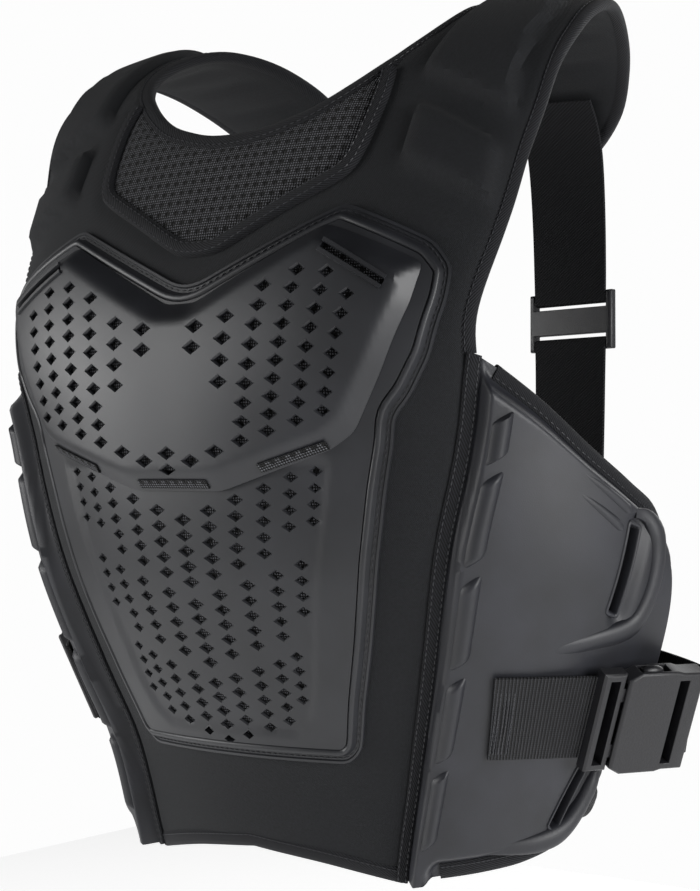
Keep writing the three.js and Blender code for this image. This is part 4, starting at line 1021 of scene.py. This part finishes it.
add_node(tree, "ShaderNodeOutputMaterial", links={"Surface": shade.outputs["BSDF"]})

wing_sheet = thicken(spanned(wing_seam, wing_free, WING_ROWS, 2.6), wing_top, level(WING_FOOT))
slot_cutters = bmesh.new()
for (from_angle, from_up), (to_angle, to_up) in SLOTS:
    a, b = Vector(round_body(from_angle, from_up)), Vector(round_body(to_angle, to_up))
    run = b - a
    bmesh.ops.create_cube(slot_cutters, size=1, matrix=(
        Matrix.Translation(((a + b) / 2).to_3d()) @ Matrix.Rotation(math.atan2(run.y, run.x), 4, "Z")
        @ Matrix.Diagonal((run.length, SLOT_WIDTH, 60, 1))))
wing_solid = wear(pierce(wing_sheet, slot_cutters))
relief = [bead(smooth_edge([round_body(*p) for p in rows], 3), width, rise, base, fade_in, fade_out)
          for rows, width, rise, base, fade_in, fade_out in BEADS]
relief += [rib(low, high) for low, high in RIB_ENDS]
for (from_angle, from_up), (to_angle, to_up) in SLOTS:
    ends = np.array([round_body(from_angle, from_up), round_body(to_angle, to_up)])
    way = (ends[1] - ends[0]) / np.linalg.norm(ends[1] - ends[0])
    side = np.array([-way[1], way[0]]) * SLOT_RIM_OFF
    low, high = ends[0] - way * 1.5, ends[1] + way * 1.5
    loop = np.array([low + side, high + side, high - side, low - side])
    loop = soften(np.concatenate([evenly(np.array([a, b]), 2)[:-1]
                                  for a, b in zip(loop, np.roll(loop, -1, axis=0))]), 1)
    relief.append(run_tape(loop, [(-1.3, 6.0), (-1.2, 10.9), (-0.5, 11.7), (0.5, 11.7), (1.2, 10.9),
                                  (1.3, 6.0)], True))
wing_relief = join(*relief)
for side, mirror in (("left", False), ("right", True)):
    wing = make_piece(f"wing_shell_{side}", wing_solid.copy(), coated_foam, "wing", f"wing_{side}",
                      mirror=mirror, sharp=60)
    make_piece(f"wing_relief_{side}", wing_relief.copy(), coated_foam, "wing", mirror=mirror, sharp=55)
    make_piece(f"wing_tape_{side}", run_tape(wing_free, folded(-5.4, 0.2)), binding_twill, "binding",
               f"wing_binding_{side}", mirror=mirror)
    make_piece(f"seam_tape_{side}", run_tape(seam, [
        (-4.5, -0.6), (-4.3, 1.0), (-3.0, 1.5), (3.0, 1.5), (4.3, 0.9), (4.5, -0.6)]), binding_twill,
        "binding", f"seam_{side}", mirror=mirror)
make_piece("wing_stitches", both_sides(join(
    sew(wing_free, 5.4, 1.4), sew(seam, -2.9, 1.6, 3.6, 2.6, 0.8), sew(seam, 2.9, 1.6, 3.6, 2.6, 0.8))),
    sewing_thread, "binding")

# Lower back panel: the same knit-faced foam, which wraps the small of the back and reaches forward under
# the wings, bound with the same tape.
BACK_TOP = [round_body(*p) for p in [(82, 0.262), (105, 0.275), (130, 0.292), (150, 0.303), (180, 0.306)]]
BACK_SIDE = [round_body(*p) for p in [(80, 0.080), (77, 0.170), (82, 0.262)]]
BACK_FOOT = [round_body(*p) for p in [
    (180, 0.050), (150, 0.052), (125, 0.068), (108, 0.092), (92, 0.090), (80, 0.080)]]
BACK_FACE = -7.8
BACK_THICK = 9
BACK_BULGE = 2.0
back_half = np.concatenate([smooth_edge(BACK_FOOT, 7), smooth_edge(BACK_SIDE, 7)[1:-1],
                            smooth_edge(BACK_TOP, 7)])
back_twin = (back_half * [-1, 1] + [360 * ANGLE_RUN, 0])[::-1]
back_outline = np.concatenate([back_half, back_twin[1:-1]])[::-1]


def back_top(x, y):
    """Height of the back panel's face, pinched at its bound edge."""
    edge = away(x, y, back_outline, True)
    return BACK_FACE - 1.6 * (1 - ease(edge, 11)) + 0.5 * np.sin(x / 40) * np.sin(y / 21)


back = make_piece("back_panel_knit", wear(thicken(cut_pattern(back_outline, 7), back_top,
                                                  level(BACK_FACE - BACK_THICK))),
                  scuba_knit, "panel", "back_panel")
flat = flat_places(back)
held = 1 - ease(away(flat[:, 0], flat[:, 1], back_outline, True) - HELD_MARGIN, FILL_EASE)
settle(back, held, BACK_BULGE)
make_piece("back_tape", run_tape(back_outline[::-1], folded(BACK_FACE - 8.6, BACK_FACE - 1.0), True),
           binding_twill, "binding", "back_binding")

# Waist webbing and buckles: ribbed nylon webbing sewn to each wing runs straight to a fastened side-release
# buckle that stands off the body, and a twill elastic goes from the buckle's far bar round to the back panel.
WEB_WIDTH = 50
STRAP_WIDTH = 56
WEB_THICK = 1.8
WAIST_UP = 0.201
LAY_GAP = 0.8
WEB_HEIGHT = WING_RISE + LAY_GAP + WEB_THICK / 2
BACK_HEIGHT = BACK_FACE + LAY_GAP + WEB_THICK / 2
BUCKLE_LEAD = 36
BUCKLE_LENGTH = 60
BAR_WIDTH = 4
END_BAR_WIDTH = 9
STRAP_SLOT = 6

# Nylon webbing: ribs of plain weave across it every 1.8 mm
nylon_webbing, tree = new_material("nylon_webbing")
uv = add_node(tree, "ShaderNodeUVMap", {"uv_map": "pattern"})
web_place = add_node(tree, "ShaderNodeSeparateXYZ", links={"Vector": uv.outputs["UV"]})
waves = [ripple(tree, web_place, axis, pitch) for axis, pitch in (("X", 1.8), ("Y", 1.3))]
picks = add_node(tree, "ShaderNodeMath", {"operation": "MULTIPLY", 1: 0.25}, {0: waves[1].outputs[0]})
weave = add_node(tree, "ShaderNodeMath", {"operation": "ADD"}, {0: waves[0].outputs[0], 1: picks.outputs[0]})
web_tone = add_node(tree, "ShaderNodeValToRGB", links={"Fac": weave.outputs[0]})
web_tone.color_ramp.elements[0].color = linear("#0a0a0c")
web_tone.color_ramp.elements[1].color = linear("#2e2f33")
web_bump = add_node(tree, "ShaderNodeBump", {"Strength": 0.9, "Distance": 0.0005},
                    {"Height": weave.outputs[0]})
shade = add_node(tree, "ShaderNodeBsdfPrincipled", {"Roughness": 0.55, "Specular IOR Level": 0.4}, {
    "Base Color": web_tone.outputs["Color"], "Normal": web_bump.outputs["Normal"]})
add_node(tree, "ShaderNodeOutputMaterial", links={"Surface": shade.outputs["BSDF"]})

# Twill elastic: fine diagonal ribs, drawn 1.6 mm apart where the real ones are 1 mm
twill_elastic, tree = new_material("twill_elastic")
uv = add_node(tree, "ShaderNodeUVMap", {"uv_map": "pattern"})
turned = add_node(tree, "ShaderNodeMapping", {"Rotation": (0, 0, math.radians(35))},
                  {"Vector": uv.outputs["UV"]})
turned_place = add_node(tree, "ShaderNodeSeparateXYZ", links={"Vector": turned.outputs["Vector"]})
twill = ripple(tree, turned_place, "X", 1.6)
elastic_tone = add_node(tree, "ShaderNodeValToRGB", links={"Fac": twill.outputs[0]})
elastic_tone.color_ramp.elements[0].color = linear("#0b0b0d")
elastic_tone.color_ramp.elements[1].color = linear("#212226")
elastic_bump = add_node(tree, "ShaderNodeBump", {"Strength": 0.6, "Distance": 0.0003},
                        {"Height": twill.outputs[0]})
shade = add_node(tree, "ShaderNodeBsdfPrincipled", {"Roughness": 0.75, "Specular IOR Level": 0.25}, {
    "Base Color": elastic_tone.outputs["Color"], "Normal": elastic_bump.outputs["Normal"]})
add_node(tree, "ShaderNodeOutputMaterial", links={"Surface": shade.outputs["BSDF"]})

# Acetal: injection moulded, with a coarse spark-eroded grain
grained_acetal, tree = new_material("grained_acetal")
place = add_node(tree, "ShaderNodeTexCoord")
grain = add_node(tree, "ShaderNodeTexNoise", {"Scale": 900.0, "Detail": 2.0},
                 {"Vector": place.outputs["Object"]})
acetal_tone = add_node(tree, "ShaderNodeValToRGB", links={"Fac": grain.outputs["Fac"]})
acetal_tone.color_ramp.elements[0].color = linear("#131315")
acetal_tone.color_ramp.elements[1].color = linear("#242428")
grain_bump = add_node(tree, "ShaderNodeBump", {"Strength": 0.5, "Distance": 0.0002},
                      {"Height": grain.outputs["Fac"]})
shade = add_node(tree, "ShaderNodeBsdfPrincipled", {"Roughness": 0.42, "IOR": 1.48}, {
    "Base Color": acetal_tone.outputs["Color"], "Normal": grain_bump.outputs["Normal"]})
add_node(tree, "ShaderNodeOutputMaterial", links={"Surface": shade.outputs["BSDF"]})


def frame_at(place, along, face):
    """A place with the directions along a strap, off its face and across it."""
    along = along / np.linalg.norm(along)
    outward = face - along * (face @ along)
    outward /= np.linalg.norm(outward)
    return {"place": place, "along": along, "face": outward, "across": np.cross(outward, along)}


def in_frame(frame, x, z):
    """A place a distance along a strap's frame and off its face."""
    return frame["place"] + frame["along"] * x + frame["face"] * z


def moved_along(frame, x):
    """The frame moved along the strap."""
    return {**frame, "place": in_frame(frame, x, 0)}


def on_body(angle, up, height, way):
    """A strap's frame on the body form, running round it, or up it or down it."""
    around, rise, outward = (axis for axis in skin_axes(np.array(float(angle)), np.array(up)))
    along = {"round": around, "up": rise, "down": -rise}[way]
    return frame_at(skin(np.array(float(angle)), np.array(up)) + outward * height, along, outward)


def turned_up(frame, slot_from, way):
    """Stations of a strap that runs under a bar and up through the slot beside it."""
    stations = []
    for x, z, lean in ((0, 0, 0), (WEB_THICK, WEB_THICK / 3, 45), (WEB_THICK * 1.3, STRAP_SLOT / 2, 90)):
        turn = math.radians(lean)
        face = frame["face"] * math.cos(turn) - frame["along"] * way * math.sin(turn)
        stations.append({**frame, "place": in_frame(frame, slot_from + way * (x + 0.6), z), "face": face})
    return stations


def between(start, end, start_pull, end_pull, count):
    """Frames along a curve between two frames, which it leaves in line."""
    p0, p3 = start["place"], end["place"]
    p1, p2 = p0 + start["along"] * start_pull, p3 - end["along"] * end_pull
    frames = []
    for share in np.linspace(0, 1, count + 2)[1:-1]:
        rest = 1 - share
        place = p0 * rest ** 3 + 3 * p1 * rest ** 2 * share + 3 * p2 * rest * share ** 2 + p3 * share ** 3
        along = (p1 - p0) * rest ** 2 + 2 * (p2 - p1) * rest * share + (p3 - p2) * share ** 2
        side = start["across"] * rest + end["across"] * share
        frames.append(frame_at(place, along, np.cross(along, side)))
    return frames


def ribbon(stations, width, thick):
    """A strap with rounded edges through its stations, bent smoothly between them."""
    values = np.array([np.concatenate([s["place"], s["across"], s["face"]]) for s in stations])
    profile = [(-1, -0.4), (-0.985, -1), (-0.5, -1), (0, -1), (0.5, -1), (0.985, -1), (1, -0.4),
               (1, 0.4), (0.985, 1), (0.5, 1), (0, 1), (-0.5, 1), (-0.985, 1), (-1, 0.4)]
    return loft([[(row[:3] + row[3:6] * side * width / 2 + row[6:] * rise * thick / 2) * MM
                  for side, rise in profile] for row in bent(values, 6 * len(values))])


EDGE_ROUND = 0.7


def moulded_copy(name, node):
    """A finer copy of a rigid moulded piece, its edges rounded."""
    solid = bmesh.new()
    solid.from_mesh(frame["nodes"][node].data)
    bmesh.ops.transform(solid, matrix=frame["nodes"][node].matrix_world, verts=solid.verts)
    bmesh.ops.remove_doubles(solid, verts=solid.verts, dist=1e-6)
    bmesh.ops.dissolve_limit(solid, angle_limit=math.radians(2), verts=solid.verts, edges=solid.edges)
    piece = make_piece(name, solid, grained_acetal, "buckle", node)
    rounding = piece.modifiers.new("rounding", "BEVEL")
    rounding.width = EDGE_ROUND * MM
    rounding.segments = 2
    rounding.limit_method = "ANGLE"
    rounding.angle_limit = math.radians(35)
    return piece


web_end = on_body(57, WAIST_UP, WEB_HEIGHT, "round")
buckle_frame = on_body(66, WAIST_UP, WEB_HEIGHT, "round")
buckle_frame["place"] = in_frame(web_end, BUCKLE_LEAD, 0)
web_run = [on_body(angle, WAIST_UP, WEB_HEIGHT, "round") for angle in (51, 54, 57)]
web_solid = ribbon([*web_run, moved_along(buckle_frame, -BAR_WIDTH), *turned_up(buckle_frame, BAR_WIDTH, 1)],
                   WEB_WIDTH, WEB_THICK)
elastic_home = on_body(118, WAIST_UP, BACK_HEIGHT, "round")
elastic_away = moved_along(buckle_frame, BUCKLE_LENGTH + BAR_WIDTH)
elastic_solid = ribbon([
    *turned_up(buckle_frame, BUCKLE_LENGTH - END_BAR_WIDTH, -1)[::-1], elastic_away,
    *between(elastic_away, elastic_home, 11, 30, 9),
    *[on_body(angle, WAIST_UP, BACK_HEIGHT, "round") for angle in (118, 122, 126, 130, 134)]],
    WEB_WIDTH, WEB_THICK)

# Release lugs of the prongs, which show in the openings at the buckle's two edges
LUG_SIZE = (6.5, 3.2, 2.9)
LUG_ALONG = 30
LUG_ABOVE = 5.1
LUG_ACROSS = 29.4
lugs = bmesh.new()
turn = Matrix([buckle_frame["along"], buckle_frame["across"], buckle_frame["face"]]).transposed().to_4x4()
for edge in (-1, 1):
    middle = in_frame(buckle_frame, LUG_ALONG, LUG_ABOVE) + buckle_frame["across"] * edge * LUG_ACROSS
    bmesh.ops.create_uvsphere(lugs, u_segments=24, v_segments=12, radius=1, matrix=(
        Matrix.Translation(middle * MM) @ turn @ Matrix.Diagonal((*(size * MM for size in LUG_SIZE), 1))))
make_piece("buckle_release_lugs", both_sides(lugs), grained_acetal, "buckle")
for side, mirror in (("left", False), ("right", True)):
    make_piece(f"webbing_{side}", web_solid.copy(), nylon_webbing, "webbing", f"waist_web_{side}",
               mirror=mirror)
    make_piece(f"elastic_{side}", elastic_solid.copy(), twill_elastic, "elastic", f"waist_elastic_{side}",
                      mirror=mirror)
    moulded_copy(f"buckle_prongs_{side}", f"buckle_male_{side}")
    moulded_copy(f"buckle_socket_{side}", f"buckle_female_{side}")

# Dense rows of stitches that sew the webbing's end to the wing, drawn straight where the real rows zigzag
foot, head = (WAIST_UP * FRONT_RUN - 21, WAIST_UP * FRONT_RUN + 21)
web_rows = [sew(np.array([(51.6 * ANGLE_RUN + shift, foot), (51.6 * ANGLE_RUN + shift, head)]), 0,
                WEB_HEIGHT + 0.9, 2.6, 3.0, 1.1) for shift in (0, 2.2, 5.5, 7.7, 11)]
make_piece("webbing_stitches", both_sides(join(*web_rows)), sewing_thread, "webbing")

# Back straps: a broad elastic from under each rear lobe passes through a slider and down to the back panel,
# where it is sewn with a box of stitches, which is not drawn.
LOBE_HEIGHT = -PANEL_THICK - 2.2 - WEB_THICK / 2
FOOT_HEIGHT = BACK_FACE + 2.0 + 0.3 + WEB_THICK / 2
STRAP_OUT = 0.470


def strap_angle(up):
    """The angle round the body at which a back strap runs at a height."""
    return across(STRAP_OUT, up)[0] / ANGLE_RUN


lobe_frames = [on_body(strap_angle(up), up, LOBE_HEIGHT, "up") for up in np.linspace(1.150, 1.232, 4)]
foot_frames = [on_body(180 - strap_angle(up), up, FOOT_HEIGHT, "down") for up in (0.312, 0.256)]
strap_run = between(lobe_frames[-1], foot_frames[0], 60, 60, 9)
slider_frame = strap_run[3]
upper_solid = ribbon([*lobe_frames, *strap_run[:3], *turned_up(slider_frame, -14, 1)], STRAP_WIDTH, WEB_THICK)
lower_solid = ribbon([*turned_up(slider_frame, 14, -1)[::-1], *strap_run[4:], *foot_frames], STRAP_WIDTH,
                     WEB_THICK)
for side, mirror in (("left", False), ("right", True)):
    make_piece(f"back_elastic_upper_{side}", upper_solid.copy(), twill_elastic, "elastic",
               f"back_strap_upper_{side}",
               mirror=mirror)
    make_piece(f"back_elastic_lower_{side}", lower_solid.copy(), twill_elastic, "elastic",
               f"back_strap_lower_{side}",
               mirror=mirror)
    moulded_copy(f"ladder_slider_{side}", f"slider_{side}")
